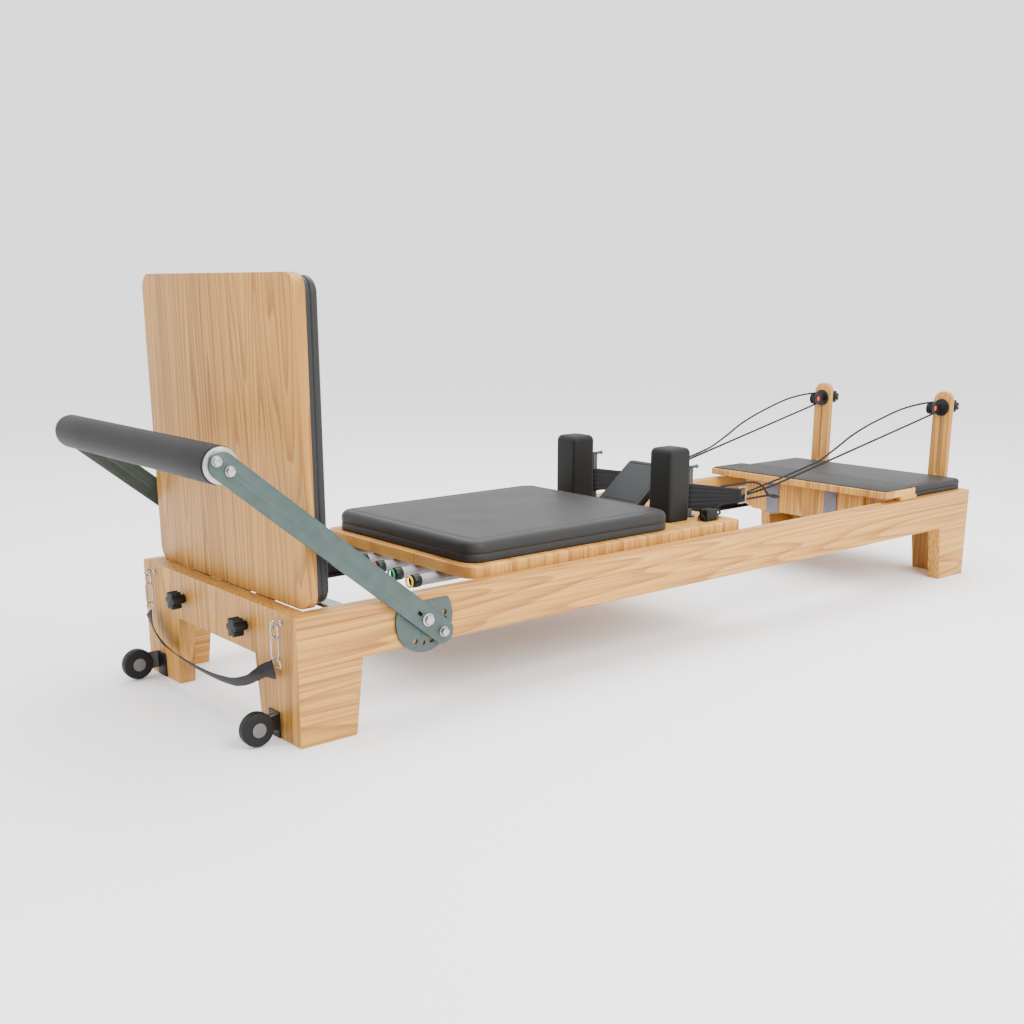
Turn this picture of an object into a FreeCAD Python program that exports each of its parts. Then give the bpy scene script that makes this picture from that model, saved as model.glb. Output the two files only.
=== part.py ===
# Wooden pilates reformer: frame, sliding carriage, foot bar, jump board, rope pulleys and end platform.
# Millimetres. X runs from the foot end to the head end, Y across, Z up. The floor is Z = 0.
import FreeCAD, Part
import Sketcher
import math
import os
import re
from FreeCAD import Placement, Rotation, Vector

os.makedirs("parts", exist_ok=True)
doc = FreeCAD.newDocument("Reformer")
sheet = doc.addObject("Spreadsheet::Sheet", "Sizes")

sizes = {
    # frame
    "footEnd": -1147,
    "railLength": 2400,
    "railThick": 38,
    "frameWide": 694,
    "railTop": 267,
    "railLow": 161,
    "endLow": 159,
    "legTop": 150,
    "legFoot": 130,
    "gapTop": 352,
    "gapFoot": 388,
    # wheel tracks and spring bar
    "trackWide": 28,
    "trackTall": 34,
    "trackThick": 4,
    "trackWall": 3,
    "trackLow": 163,
    "trackStart": 160,
    "trackEnd": 2240,
    "barStart": 102,
    "barWide": 32,
    "barThick": 8,
    "hookRadius": 5,
    "hookTall": 22,
    "springCount": 5,
    "springPitch": 84,
    "springAxis": 246,
    "springRadius": 13,
    "springStart": 414,
    "springStep": 9,
    "springEnd": 1000,
    "capLong": 18,
    "capWall": 2,
    # foot bar
    "pivotX": 300,
    "pivotZ": 216,
    "pivotRadius": 8,
    "barReach": 567,
    "barRise": 39.1,
    "armInner": 356,
    "armThick": 8,
    "armWide": 52,
    "indexReach": 51,
    "indexRadius": 5.5,
    "plateRadius": 72,
    "plateThick": 6,
    "plateCut": 38,
    "foamRadius": 36,
    "coreRadius": 21,
    # jump board
    "jumpThick": 24,
    "jumpPadThick": 34,
    "jumpWide": 658,
    "jumpLow": 268,
    "jumpTall": 639,
    "jumpCorner": 32,
    "tongueWide": 50,
    "tongueThick": 18,
    "tongueLow": 172,
    "knobY": 143,
    "knobZ": 211,
    "knobRadius": 21,
    "knobLong": 22,
    # carriage
    "deckStart": 462,
    "deckSeam": 1262,
    "deckEnd": 1362,
    "deckWide": 600,
    "deckTop": 290,
    "deckThick": 28,
    "deckGap": 2.5,
    "deckMiddle": 172,
    "deckCorner": 34,
    "padStart": 480,
    "padLong": 645,
    "padWide": 556,
    "padThick": 50,
    "padCorner": 30,
    "wheelRadius": 28,
    "wheelWide": 20,
    "wheelY": 293,
    "wheelFoot": 560,
    "wheelHead": 1230,
    "axleRadius": 5,
    "boreGap": 0.05,
    # shoulder rests, posts, cleats and handles
    "restStart": 1174,
    "restLong": 77,
    "restWide": 79,
    "restInner": 141,
    "restTop": 481,
    "restRound": 22,
    "postX": 1286,
    "postY": 182,
    "postRadius": 10,
    "pegZ": 421,
    "pegEnd": 1314,
    "cleatX": 1284,
    "cleatY": 255,
    "cleatLong": 40,
    "cleatTall": 30,
    "handleLow": 315,
    "handleTop": 378,
    "handleTailLow": 310,
    "handleTailTop": 347,
    "linkLong": 28,
    "handleEnd": 1470,
    "handleEndY": 200,
    "webThick": 4,
    "ropeThick": 6,
    # headrest
    "headTilt": 38.2,
    "headWide": 152,
    "headLong": 160,
    "headBoard": 6,
    "headPad": 14,
    "headAxisX": 1202,
    "headAxisZ": 295.5,
    # risers and pulleys
    "riserY": 227,
    "riserWide": 60,
    "riserThick": 20,
    "riserLow": 120,
    "riserTop": 561,
    "slotWide": 9,
    "slotLow": 306,
    "pulleyZ": 512,
    "pulleyX": 2355,
    "pulleyY": 221,
    "sheaveRadius": 18,
    "grooveRadius": 15,
    "sheaveWide": 12,
    "discRadius": 26,
    # end platform
    "plankStart": 1967,
    "plankEnd": 2122,
    "plankWide": 670,
    "plankLow": 280,
    "plankThick": 20,
    "matThick": 3,
    "matInset": 5,
    "braceX": 2015,
    "braceThick": 20,
    "braceWide": 450,
    "braceLow": 179,
    "strapY": 110,
    "strapWide": 46,
    "cushionEnd": 2396,
    "cushionWide": 640,
    "cushionThick": 34,
    # transport wheels and carry strap
    "rollRadius": 35,
    "rollWide": 22,
    "rollX": -61,
    "rollY": 282,
    "rollZ": 38,
    "ringX": -16,
    "ringY": 290,
    "ringZ": 232,
    "ringRadius": 14.5,
    "carryWide": 38,
    "carryThick": 3,
    "carryLow": 78,
}
for row, (word, value) in enumerate(sizes.items(), 1):
    sheet.set(f"A{row}", word)
    sheet.set(f"B{row}", str(value))
    sheet.setAlias(f"B{row}", word)
doc.recompute()

axisX = Vector(1, 0, 0)
axisY = Vector(0, 1, 0)
axisZ = Vector(0, 0, 1)
noTurn = Rotation()
zToX = Rotation(axisY, 90)
zToY = Rotation(axisX, -90)
made = {}


def cells(text):
    """An expression in which each word of the sheet is looked up there."""
    def named(found):
        word = found.group()
        return "Sizes." + word if word in sizes else word
    return re.sub(r"[A-Za-z]\w*", named, str(text))


def num(text):
    return float(sheet.evalExpression(cells(text)))


def bind(thing, **fields):
    for field, text in fields.items():
        thing.setExpression(field, cells(text))


def put(thing, x, y, z, turn=noTurn):
    """Places a thing: x counts from the foot end of the rails."""
    thing.Placement = Placement(Vector(0, 0, 0), turn)
    for field, text in (("x", f"footEnd + {x}"), ("y", y), ("z", z)):
        thing.setExpression(f"Placement.Base.{field}", cells(text))
    return thing


def keep(label, thing):
    thing.Label = label
    made[label] = thing
    return thing


# Part workbench pieces

def box(long, wide, tall, x, y, z, turn=noTurn):
    thing = doc.addObject("Part::Box", "Block")
    bind(thing, Length=long, Width=wide, Height=tall)
    return put(thing, x, y, z, turn)


def rod(radius, tall, x, y, z, turn=noTurn):
    thing = doc.addObject("Part::Cylinder", "Rod")
    bind(thing, Radius=radius, Height=tall)
    return put(thing, x, y, z, turn)


def hexRod(radius, tall, x, y, z, turn=noTurn):
    thing = doc.addObject("Part::Prism", "HexHead")
    thing.Polygon = 6
    bind(thing, Circumradius=radius, Height=tall)
    return put(thing, x, y, z, turn)


def ball(radius, x, y, z):
    thing = doc.addObject("Part::Sphere", "Ball")
    bind(thing, Radius=radius)
    return put(thing, x, y, z)


def torus(ring, wire, x, y, z, turn=noTurn):
    thing = doc.addObject("Part::Torus", "Ring")
    bind(thing, Radius1=ring, Radius2=wire)
    return put(thing, x, y, z, turn)


def fuse(*things):
    thing = doc.addObject("Part::MultiFuse", "Joined")
    thing.Shapes = list(things)
    thing.Refine = True
    return thing


def cut(base, *tools):
    thing = doc.addObject("Part::Cut", "Trimmed")
    thing.Base = base
    thing.Tool = tools[0] if len(tools) == 1 else fuse(*tools)
    return thing


def group(*things):
    thing = doc.addObject("Part::Compound", "Group")
    thing.Links = list(things)
    return thing


def solid(shape):
    thing = doc.addObject("Part::Feature", "Shaped")
    thing.Shape = shape
    return thing


# PartDesign pieces

def sketchOn(body, role, loops, circles=()):
    plane = [f for f in body.Origin.OriginFeatures if f.Role == role][0]
    sketch = body.newObject("Sketcher::SketchObject", "Sketch")
    sketch.AttachmentSupport = [(plane, "")]
    sketch.MapMode = "FlatFace"
    for points in loops:
        first = sketch.GeometryCount
        count = len(points)
        corners = [Vector(num(x), num(y), 0) for x, y in points]
        for i in range(count):
            sketch.addGeometry(Part.LineSegment(corners[i], corners[(i + 1) % count]), False)
        for i in range(count):
            joint = Sketcher.Constraint("Coincident", first + i, 2, first + (i + 1) % count, 1)
            sketch.addConstraint(joint)
        for i, (x, y) in enumerate(points):
            for kind, text in (("DistanceX", x), ("DistanceY", y)):
                rule = sketch.addConstraint(Sketcher.Constraint(kind, first + i, 1, num(text)))
                sketch.setExpression(f"Constraints[{rule}]", cells(text))
    for x, y, radius in circles:
        centre = Vector(num(x), num(y), 0)
        ring = sketch.addGeometry(Part.Circle(centre, axisZ, num(radius)), False)
        for kind, text in (("DistanceX", x), ("DistanceY", y)):
            rule = sketch.addConstraint(Sketcher.Constraint(kind, ring, 3, num(text)))
            sketch.setExpression(f"Constraints[{rule}]", cells(text))
        rule = sketch.addConstraint(Sketcher.Constraint("Radius", ring, num(radius)))
        sketch.setExpression(f"Constraints[{rule}]", cells(radius))
    return sketch


def padded(name, role, loops, thick, circles=()):
    body = doc.addObject("PartDesign::Body", name)
    pad = body.newObject("PartDesign::Pad", "Pad")
    pad.Profile = sketchOn(body, role, loops, circles)
    pad.setExpression("Length", cells(thick))
    doc.recompute()
    return body


def pocketThrough(body, role, loops):
    before = body.Shape.Volume
    pocket = body.newObject("PartDesign::Pocket", "Pocket")
    pocket.Profile = sketchOn(body, role, loops)
    pocket.Type = "ThroughAll"
    pocket.Midplane = True
    doc.recompute()
    if body.Shape.Volume >= before:
        raise ValueError(f"{body.Name}: the pocket cut nothing")


def rounded(body, radius, chosen):
    """Fillets the edges of the body that chosen() accepts."""
    names = [f"Edge{i}" for i, edge in enumerate(body.Shape.Edges, 1) if chosen(edge)]
    base = body.Tip
    fillet = body.newObject("PartDesign::Fillet", "Fillet")
    fillet.Base = (base, names)
    fillet.setExpression("Radius", cells(radius))
    body.Tip = fillet
    doc.recompute()
    if not names or "Invalid" in fillet.State:
        raise ValueError(f"{body.Name}: {len(names)} edges can't take the radius {radius}")
    return body


def along(axis):
    def chosen(edge):
        start, end = edge.valueAt(edge.FirstParameter), edge.valueAt(edge.LastParameter)
        run = end - start
        return run.Length > 1 and abs(run.normalize().dot(axis)) > 0.999
    return chosen


def onFace(axis, level):
    def chosen(edge):
        middle = edge.valueAt((edge.FirstParameter + edge.LastParameter) / 2)
        ends = [v.Point for v in edge.Vertexes] + [middle]
        return all(abs(p.dot(axis) - level) < 0.01 for p in ends)
    return chosen


def slab(name, role, wide, tall, thick, corner, soft=None, softBoth=False):
    """A cushion or board: a centred rectangle with round corners and, if asked, soft rims."""
    half = f"({wide}) / 2"
    loop = [(f"-({half})", "0"), (half, "0"), (half, tall), (f"-({half})", tall)]
    body = padded(name, role, [loop], thick)
    normal = {"XY_Plane": axisZ, "XZ_Plane": axisY * -1, "YZ_Plane": axisX}[role]
    rounded(body, corner, along(normal))
    if soft:
        rounded(body, soft, onFace(normal, num(thick)))
    if softBoth:
        rounded(body, softBoth, onFace(normal, 0))
    return body


# Swept wires: straight runs joined by tangent arcs

def routeWire(points, radii=None):
    """radii may give the arc's radius at some of the points; elsewhere it fills 0.45 of the shorter run."""
    radii = radii or {}
    edges = []
    here = points[0]
    used = []
    for i in range(1, len(points) - 1):
        back, ahead = points[i - 1] - points[i], points[i + 1] - points[i]
        turn = math.pi - back.getAngle(ahead)
        radius = radii.get(i, 0.45 * min(back.Length, ahead.Length) / math.tan(turn / 2))
        reach = radius * math.tan(turn / 2)
        back.normalize()
        ahead.normalize()
        start, end = points[i] + back * reach, points[i] + ahead * reach
        bisector = (back + ahead).normalize()
        middle = points[i] + bisector * (radius / math.cos(turn / 2) - radius)
        edges.append(Part.LineSegment(here, start).toShape())
        edges.append(Part.Arc(start, middle, end).toShape())
        here = end
        used.append(radius)
    edges.append(Part.LineSegment(here, points[-1]).toShape())
    return Part.Wire(edges), used


def sweptTube(name, points, thick, radii=None):
    path, used = routeWire(points, radii)
    start = (points[1] - points[0]).normalize()
    profile = Part.Wire([Part.Circle(points[0], start, thick / 2).toShape()])
    shape = path.makePipeShell([profile], True, False)
    ideal = math.pi * thick ** 2 / 4 * path.Length
    print(f"{name}: {path.Length:.0f} mm, smallest radius {min(used):.0f} mm,"
          f" volume {shape.Volume / ideal:.4f} of section times length")
    return shape


def at(x, y, z):
    """A point of the model; x counts from the foot end of the rails."""
    return Vector(num("footEnd") + x, y, z)


def starKnob(lobes, radius, long, bore):
    """A lobed hand wheel about X, from 0 to long, with a bore for its stud."""
    lobe = radius * 0.3
    shape = Part.makeCylinder(radius * 0.72, long, Vector(0, 0, 0), axisX)
    for i in range(lobes):
        angle = 2 * math.pi * i / lobes
        centre = Vector(0, math.cos(angle), math.sin(angle)) * (radius - lobe)
        shape = shape.fuse(Part.makeCylinder(lobe, long, centre, axisX))
    if bore:
        shape = shape.cut(Part.makeCylinder(bore, long, Vector(0, 0, 0), axisX))
    return shape.removeSplitter()


sides = {"near": -1, "far": 1}


# Frame: side rails with their legs, mitred to the end boards at the corners

def makeRail(side):
    profile = [
        ("0", "0"),
        ("legFoot", "0"),
        ("legTop", "railLow"),
        ("railLength - legTop", "railLow"),
        ("railLength - legFoot", "0"),
        ("railLength", "0"),
        ("railLength", "railTop"),
        ("0", "railTop"),
    ]
    pivot = ("pivotX", "pivotZ", "pivotRadius + boreGap")
    body = padded(f"Rail_{side}", "XZ_Plane", [profile], "railThick", [pivot])
    outer, inner = ("-railThick", "0") if side == "near" else ("0", "-railThick")
    footCorner = [("0", outer), ("railThick", inner), ("0", inner)]
    headCorner = [("railLength", outer), ("railLength", inner), ("railLength - railThick", inner)]
    pocketThrough(body, "XY_Plane", [footCorner])
    pocketThrough(body, "XY_Plane", [headCorner])
    y = "railThick - frameWide / 2" if side == "near" else "frameWide / 2"
    keep(f"side_rail_{side}", put(body, "0", y, "0"))


def makeEndBoard(end):
    profile = [
        ("-frameWide / 2", "0"),
        ("-gapFoot / 2", "0"),
        ("-gapTop / 2", "endLow"),
        ("gapTop / 2", "endLow"),
        ("gapFoot / 2", "0"),
        ("frameWide / 2", "0"),
        ("frameWide / 2", "railTop"),
        ("-frameWide / 2", "railTop"),
    ]
    studs = [(y, "knobZ", "5 + boreGap") for y in ("-knobY", "knobY")] if end == "foot" else []
    body = padded(f"EndBoard_{end}", "YZ_Plane", [profile], "railThick", studs)
    inner, outer = ("railThick", "0") if end == "foot" else ("0", "railThick")
    for sign in ("", "-"):
        edge = f"{sign}(frameWide / 2)"
        back = f"{sign}(frameWide / 2 - railThick)"
        pocketThrough(body, "XY_Plane", [[(inner, edge), (outer, edge), (inner, back)]])
    x = "0" if end == "foot" else "railLength - railThick"
    keep(f"{end}_end_board", put(body, x, "0", "0"))


for side in sides:
    makeRail(side)
for end in ("foot", "head"):
    makeEndBoard(end)


# Wheel tracks: an angle along the inner foot of each rail

def makeTracks():
    angles = []
    long = "trackEnd - trackStart"
    inner = "frameWide / 2 - railThick"
    for sign in sides.values():
        wallY = f"-({inner})" if sign < 0 else f"{inner} - trackWall"
        shelfY = f"-({inner})" if sign < 0 else f"{inner} - trackWide"
        wall = box(long, "trackWall", "trackTall", "trackStart", wallY, "trackLow")
        shelf = box(long, "trackWide", "trackThick", "trackStart", shelfY, "trackLow")
        angles.append(fuse(wall, shelf))
    keep("wheel_tracks", group(*angles))


def makeSpringBar():
    barLow = "railTop - 1 - barThick"
    inner = "frameWide / 2 - railThick"
    pieces = [box("barWide", f"2 * ({inner})", "barThick", "barStart", f"-({inner})", barLow)]
    for i in range(sizes["springCount"]):
        y = f"({i} - (springCount - 1) / 2) * springPitch"
        pieces.append(rod("hookRadius", "hookTall", "barStart + barWide / 2", y, f"{barLow} - hookTall"))
        pieces.append(rod("hookRadius + 3", "3", "barStart + barWide / 2", y, f"{barLow} - hookTall"))
    keep("spring_bar", fuse(*pieces))


makeTracks()
makeSpringBar()


# Foot bar: index plates and pivots on the rails, swinging arms with the padded bar between them

def makePlates():
    plates = []
    for sign in sides.values():
        y = "-frameWide / 2 - plateThick" if sign < 0 else "frameWide / 2"
        disc = rod("plateRadius", "plateThick", "pivotX", y, "pivotZ", zToY)
        top = box("2 * plateRadius", "plateThick", "plateRadius", "pivotX - plateRadius", y, "pivotZ + plateCut")
        holes = [rod("pivotRadius + boreGap", "plateThick", "pivotX", y, "pivotZ", zToY)]
        for drop in (-6.5, 9, 24.5, 40.4, 72, 96, 119):
            angle = math.radians(drop)
            reachX = f"pivotX + indexReach * {math.cos(angle):.4f}"
            reachZ = f"pivotZ - indexReach * {math.sin(angle):.4f}"
            holes.append(rod("indexRadius", "plateThick", reachX, y, reachZ, zToY))
        plates.append(cut(disc, top, *holes))
    keep("index_plates", group(*plates))


def makePivots():
    bolts = []
    for sign in sides.values():
        shaftY = "-armInner - armThick - 2" if sign < 0 else "frameWide / 2 - railThick + 8"
        shaftLong = "armInner + armThick + 2 - frameWide / 2 + railThick - 8"
        shaft = rod("pivotRadius", shaftLong, "pivotX", shaftY, "pivotZ", zToY)
        spacerY = "-armInner + 0.3" if sign < 0 else "frameWide / 2 + plateThick"
        spacerLong = "armInner - frameWide / 2 - plateThick - 0.3"
        spacer = rod("14", spacerLong, "pivotX", spacerY, "pivotZ", zToY)
        washerY = "-armInner - armThick - 2.3" if sign < 0 else "armInner + armThick + 0.3"
        washer = rod("14", "2", "pivotX", washerY, "pivotZ", zToY)
        headY = "-armInner - armThick - 9.3" if sign < 0 else "armInner + armThick + 2.3"
        head = hexRod("11", "7", "pivotX", headY, "pivotZ", zToY)
        bolts.append(fuse(shaft, spacer, washer, head))
    keep("footbar_pivots", group(*bolts))


def makeArms():
    """Each arm is laid out along X from the pivot, then turned up to the bar."""
    turn = Rotation(axisY, num("barRise"))
    for side, sign in sides.items():
        y0 = -num("armInner + armThick") if sign < 0 else num("armInner")
        long, half, thick = num("barReach + indexReach"), num("armWide / 2"), num("armThick")
        strip = Part.makeBox(long, thick, 2 * half, Vector(-num("barReach"), y0, -half))
        for x in (-num("barReach"), num("indexReach")):
            strip = strip.fuse(Part.makeCylinder(half, thick, Vector(x, y0, 0), axisY))
        bore = Part.makeCylinder(num("pivotRadius + boreGap"), thick, Vector(0, y0, 0), axisY)
        window = Part.makeBox(14, thick, 8, Vector(-32, y0, -4))
        bolts = [Part.makeCylinder(4.05, thick, Vector(-num("barReach") + d, y0, 0), axisY) for d in (-16, 16)]
        index = Part.makeCylinder(num("indexRadius"), thick, Vector(num("indexReach"), y0, 0), axisY)
        shape = strip.removeSplitter().cut(Part.makeCompound([bore, window, index] + bolts))
        arm = solid(shape)
        arm.Placement = Placement(at(num("pivotX"), 0, num("pivotZ")), turn)
        keep(f"footbar_arm_{side}", arm)


def makeBarAndBolts():
    angle = math.radians(num("barRise"))
    across = Vector(-math.cos(angle), 0, math.sin(angle))
    centre = at(num("pivotX"), 0, num("pivotZ")) + across * num("barReach")
    half, reach = num("armInner"), num("armInner - 4")
    foam = Part.makeCylinder(num("foamRadius"), 2 * reach, centre - axisY * reach, axisY)
    foam = foam.cut(Part.makeCylinder(num("coreRadius"), 2 * reach, centre - axisY * reach, axisY))
    keep("footbar_foam", solid(foam))
    core = Part.makeCylinder(num("coreRadius"), 2 * half, centre - axisY * half, axisY)
    for sign in (-1, 1):
        start = centre + axisY * (sign * half)
        core = core.fuse(Part.makeCylinder(num("foamRadius") - 2, 4, start, axisY * -sign))
    bores = []
    bolts = []
    for sign in (-1, 1):
        out = axisY * sign
        for d in (-16, 16):
            foot = centre + across * d + out * (half - 20)
            bores.append(Part.makeCylinder(4.05, 20, foot, out))
            shaft = Part.makeCylinder(4, 20 + num("armThick"), foot, out)
            face = foot + out * (20 + num("armThick"))
            washer = Part.makeCylinder(10, 2, face, out)
            bolts.append(shaft.fuse([washer, hexHead(8.5, 6, face + out * 2, out)]).removeSplitter())
        pin = at(num("pivotX"), 0, num("pivotZ")) - across * num("indexReach") + out * (half - 3)
        shaft = Part.makeCylinder(num("indexRadius") - 0.05, 3 + num("armThick"), pin, out)
        face = pin + out * (3 + num("armThick"))
        washer = Part.makeCylinder(11, 2, face, out)
        bolts.append(shaft.fuse([washer, hexHead(9, 7, face + out * 2, out)]).removeSplitter())
    core = core.removeSplitter().cut(Part.makeCompound(bores))
    keep("footbar_core", solid(Part.makeCompound(core.Solids + bolts)))


def hexHead(radius, tall, foot, out):
    side = axisX if abs(out.dot(axisX)) < 0.9 else axisZ
    other = out.cross(side)
    corners = []
    for i in range(7):
        angle = math.radians(60 * i)
        corners.append(foot + side * (radius * math.cos(angle)) + other * (radius * math.sin(angle)))
    return Part.Face(Part.makePolygon(corners)).extrude(out * tall)


makePlates()
makePivots()
makeArms()
makeBarAndBolts()


# Jump board: padded panel on two tongues, in sockets behind the foot end board, held by two knobs

def makeJumpBoard():
    panel = slab("JumpPanel", "YZ_Plane", "jumpWide", "jumpTall", "jumpThick", "jumpCorner")
    keep("jump_panel", put(panel, "railThick + 0.6", "0", "jumpLow"))
    pad = slab("JumpPad", "YZ_Plane", "jumpWide - 10", "jumpTall - 10", "jumpPadThick", "jumpCorner", "13")
    keep("jump_pad", put(pad, "railThick + 0.6 + jumpThick", "0", "jumpLow + 5"))
    tongues = []
    guides = []
    for y in ("-knobY", "knobY"):
        left = f"{y} - tongueWide / 2"
        tall = "jumpLow - tongueLow"
        tongues.append(box("tongueThick", "tongueWide", tall, "railThick + 0.6", left, "tongueLow"))
        outer = box("tongueThick + 4", "tongueWide + 7", "88", "railThick", f"{left} - 3.5", "tongueLow - 4")
        inner = box("tongueThick + 1", "tongueWide + 1", "90", "railThick", f"{left} - 0.5", "tongueLow - 0.3")
        guides.append(cut(outer, inner))
    keep("jump_tongues", group(*tongues))
    keep("jump_sockets", group(*guides))


def makeJumpKnobs():
    for side, sign in sides.items():
        stud = Part.makeCylinder(5, num("railThick") + 12.3, Vector(-12, 0, 0), axisX)
        collar = Part.makeCylinder(10, 11.5, Vector(-12, 0, 0), axisX)
        star = starKnob(6, num("knobRadius"), num("knobLong"), 0)
        star.translate(Vector(-12 - num("knobLong"), 0, 0))
        knob = solid(stud.fuse([collar, star]).removeSplitter())
        knob.Placement = Placement(at(0, sign * num("knobY"), num("knobZ")), noTurn)
        keep(f"jump_knob_{side}", knob)


makeJumpBoard()
makeJumpKnobs()


# Carriage: slatted deck, pad, wheels in hangers and springs under the deck

def makeDeck():
    low = "deckTop - deckThick"
    side = "(deckWide / 2 - deckMiddle / 2 - deckGap / 2)"
    rows = (("-deckWide / 2", side), ("-deckMiddle / 2 + deckGap / 2", "deckMiddle - deckGap"),
            ("deckMiddle / 2 + deckGap / 2", side))
    pieces = []
    for i, (y, wide) in enumerate(rows):
        loop = [("0", "0"), ("deckSeam - deckStart", "0"), ("deckSeam - deckStart", wide), ("0", wide)]
        body = padded(f"Slat{i}", "XY_Plane", [loop], "deckThick")
        if i != 1:
            rounded(body, "deckCorner", uprightAt(0, 0 if i == 0 else num(wide)))
        rounded(body, "4", footRim())
        pieces.append(put(body, "deckStart", y, low))
    half = "deckWide / 2"
    long = "deckEnd - deckSeam"
    loop = [("0.5", f"-({half})"), (long, f"-({half})"), (long, half), ("0.5", half)]
    body = padded("HeadSlat", "XY_Plane", [loop], "deckThick")
    for sign in (-1, 1):
        rounded(body, "12", uprightAt(num(long), sign * num(half)))
    rounded(body, "4", lambda edge: onFace(axisZ, num("deckThick"))(edge) and edge.Vertexes[0].Point.x > 1)
    pieces.append(put(body, "deckSeam", "0", low))
    keep("carriage_deck", group(*pieces))


def uprightAt(x, y):
    def chosen(edge):
        points = [v.Point for v in edge.Vertexes]
        upright = abs(points[0].z - points[-1].z) > 1
        return upright and all(abs(p.x - x) < 0.01 and abs(p.y - y) < 0.01 for p in points)
    return chosen


def footRim():
    """The upper edges at the foot end of a slat."""
    def chosen(edge):
        onTop = onFace(axisZ, num("deckThick"))(edge)
        return onTop and max(v.Point.x for v in edge.Vertexes) < num("deckCorner") + 1
    return chosen


def makeCarriagePad():
    half = "padWide / 2"
    loop = [("0", f"-({half})"), ("padLong", f"-({half})"), ("padLong", half), ("0", half)]
    body = padded("CarriagePad", "XY_Plane", [loop], "padThick")
    rounded(body, "padCorner", along(axisZ))
    rounded(body, "16", onFace(axisZ, num("padThick")))
    rounded(body, "8", onFace(axisZ, 0))
    keep("carriage_pad", put(body, "padStart", "0", "deckTop"))


def makeWheelsAndHangers():
    axleZ = "trackLow + trackThick + wheelRadius + 0.1"
    hangers = []
    for end, x in (("foot", "wheelFoot"), ("head", "wheelHead")):
        for side, sign in sides.items():
            inner = "wheelY - wheelWide / 2"
            wheelY = "-wheelY - wheelWide / 2" if sign < 0 else inner
            tyre = rod("wheelRadius", "wheelWide", x, wheelY, axleZ, zToY)
            bore = rod("axleRadius + boreGap", "wheelWide", x, wheelY, axleZ, zToY)
            keep(f"carriage_wheel_{end}_{side}", cut(tyre, bore))
            plateY = f"-({inner}) + 3" if sign < 0 else f"{inner} - 7"
            plate = box("44", "4", f"deckTop - deckThick - ({axleZ}) + 14", f"{x} - 22", plateY, f"{axleZ} - 14")
            flangeY = f"-({inner}) + 3" if sign < 0 else f"{inner} - 33"
            flange = box("60", "30", "4", f"{x} - 30", flangeY, "deckTop - deckThick - 4")
            axleY = "-wheelY - wheelWide / 2 - 1" if sign < 0 else f"{inner} - 7"
            axle = rod("axleRadius", "wheelWide + 8", x, axleY, axleZ, zToY)
            hangers.append(fuse(plate, flange, axle))
    plate = box("8", "430", "deckTop - deckThick - springAxis + 16", "springEnd", "-215", "springAxis - 16")
    foot = box("40", "430", "5", "springEnd", "-215", "deckTop - deckThick - 5")
    keep("wheel_hangers", group(fuse(plate, foot), *hangers))


def makeSprings():
    coils = []
    caps = []
    rings = []
    for i in range(sizes["springCount"]):
        y = f"({i} - (springCount - 1) / 2) * springPitch"
        start = f"springStart + {i} * springStep"
        coils.append(rod("springRadius", f"springEnd - ({start})", start, y, "springAxis", zToX))
        sleeve = rod("springRadius + capWall", "capLong", f"{start} - capLong + 4", y, "springAxis", zToX)
        hollow = rod("springRadius + boreGap", "4.1", start, y, "springAxis", zToX)
        mouth = rod("springRadius - 3", "capLong", f"{start} - capLong", y, "springAxis", zToX)
        caps.append(cut(sleeve, hollow, mouth))
        rings.append(torus("springRadius - 1", "2.4", f"{start} - capLong - 4", y, "springAxis", zToX))
    keep("springs", group(*coils))
    keep("spring_caps", group(*caps))
    keep("spring_rings", group(*rings))


makeDeck()
makeCarriagePad()
makeWheelsAndHangers()
makeSprings()


# Shoulder rests, rope posts, cleats and handles on the carriage

def makeShoulderRests():
    for side, sign in sides.items():
        half = "restWide / 2"
        loop = [(f"-({half})", "0"), (half, "0"), (half, "restTop - deckTop"), (f"-({half})", "restTop - deckTop")]
        body = padded(f"Rest_{side}", "YZ_Plane", [loop], "restLong")
        top = num("restTop - deckTop")
        rounded(body, "restRound", lambda edge: along(axisX)(edge) and edge.Vertexes[0].Point.z > top - 1)
        rounded(body, "9", onFace(axisX, 0))
        rounded(body, "9", onFace(axisX, num("restLong")))
        y = "-restInner - restWide / 2" if sign < 0 else "restInner + restWide / 2"
        keep(f"shoulder_rest_{side}", put(body, "restStart", y, "deckTop"))


def makePosts():
    posts = []
    for sign in sides.values():
        y = f"{sign} * postY"
        post = rod("postRadius", "pegZ - deckTop - 2", "postX", y, "deckTop")
        foot = rod("postRadius + 8", "4", "postX", y, "deckTop")
        peg = rod("4", "pegEnd - postX + 16", "postX - 16", y, "pegZ", zToX)
        posts.append(fuse(post, foot, peg, ball("5.5", "pegEnd", y, "pegZ")))
    keep("rope_posts", group(*posts))


def makeCleats():
    cleats = []
    for sign in sides.values():
        y = f"{sign} * cleatY"
        base = box("cleatLong", "28", "cleatTall", "cleatX - cleatLong / 2", f"{y} - 14", "deckTop")
        slot = box("cleatLong", "7", "cleatTall", "cleatX - cleatLong / 2", f"{y} - 3.5", "deckTop + 8")
        cleats.append(cut(base, slot))
        for x in ("cleatX - cleatLong / 2 - 7", "cleatX + cleatLong / 2 + 7"):
            arch = torus("10.5", "1.5", x, y, "deckTop + 8", zToX)
            lower = box("6", "30", "20", f"{x} - 3", f"{y} - 15", "deckTop - 12")
            legs = [rod("1.5", "8", x, f"{y} + {side}", "deckTop") for side in (-10.5, 10.5)]
            cleats.append(fuse(cut(arch, lower), *legs))
    keep("rope_cleats", group(*cleats))


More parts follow.
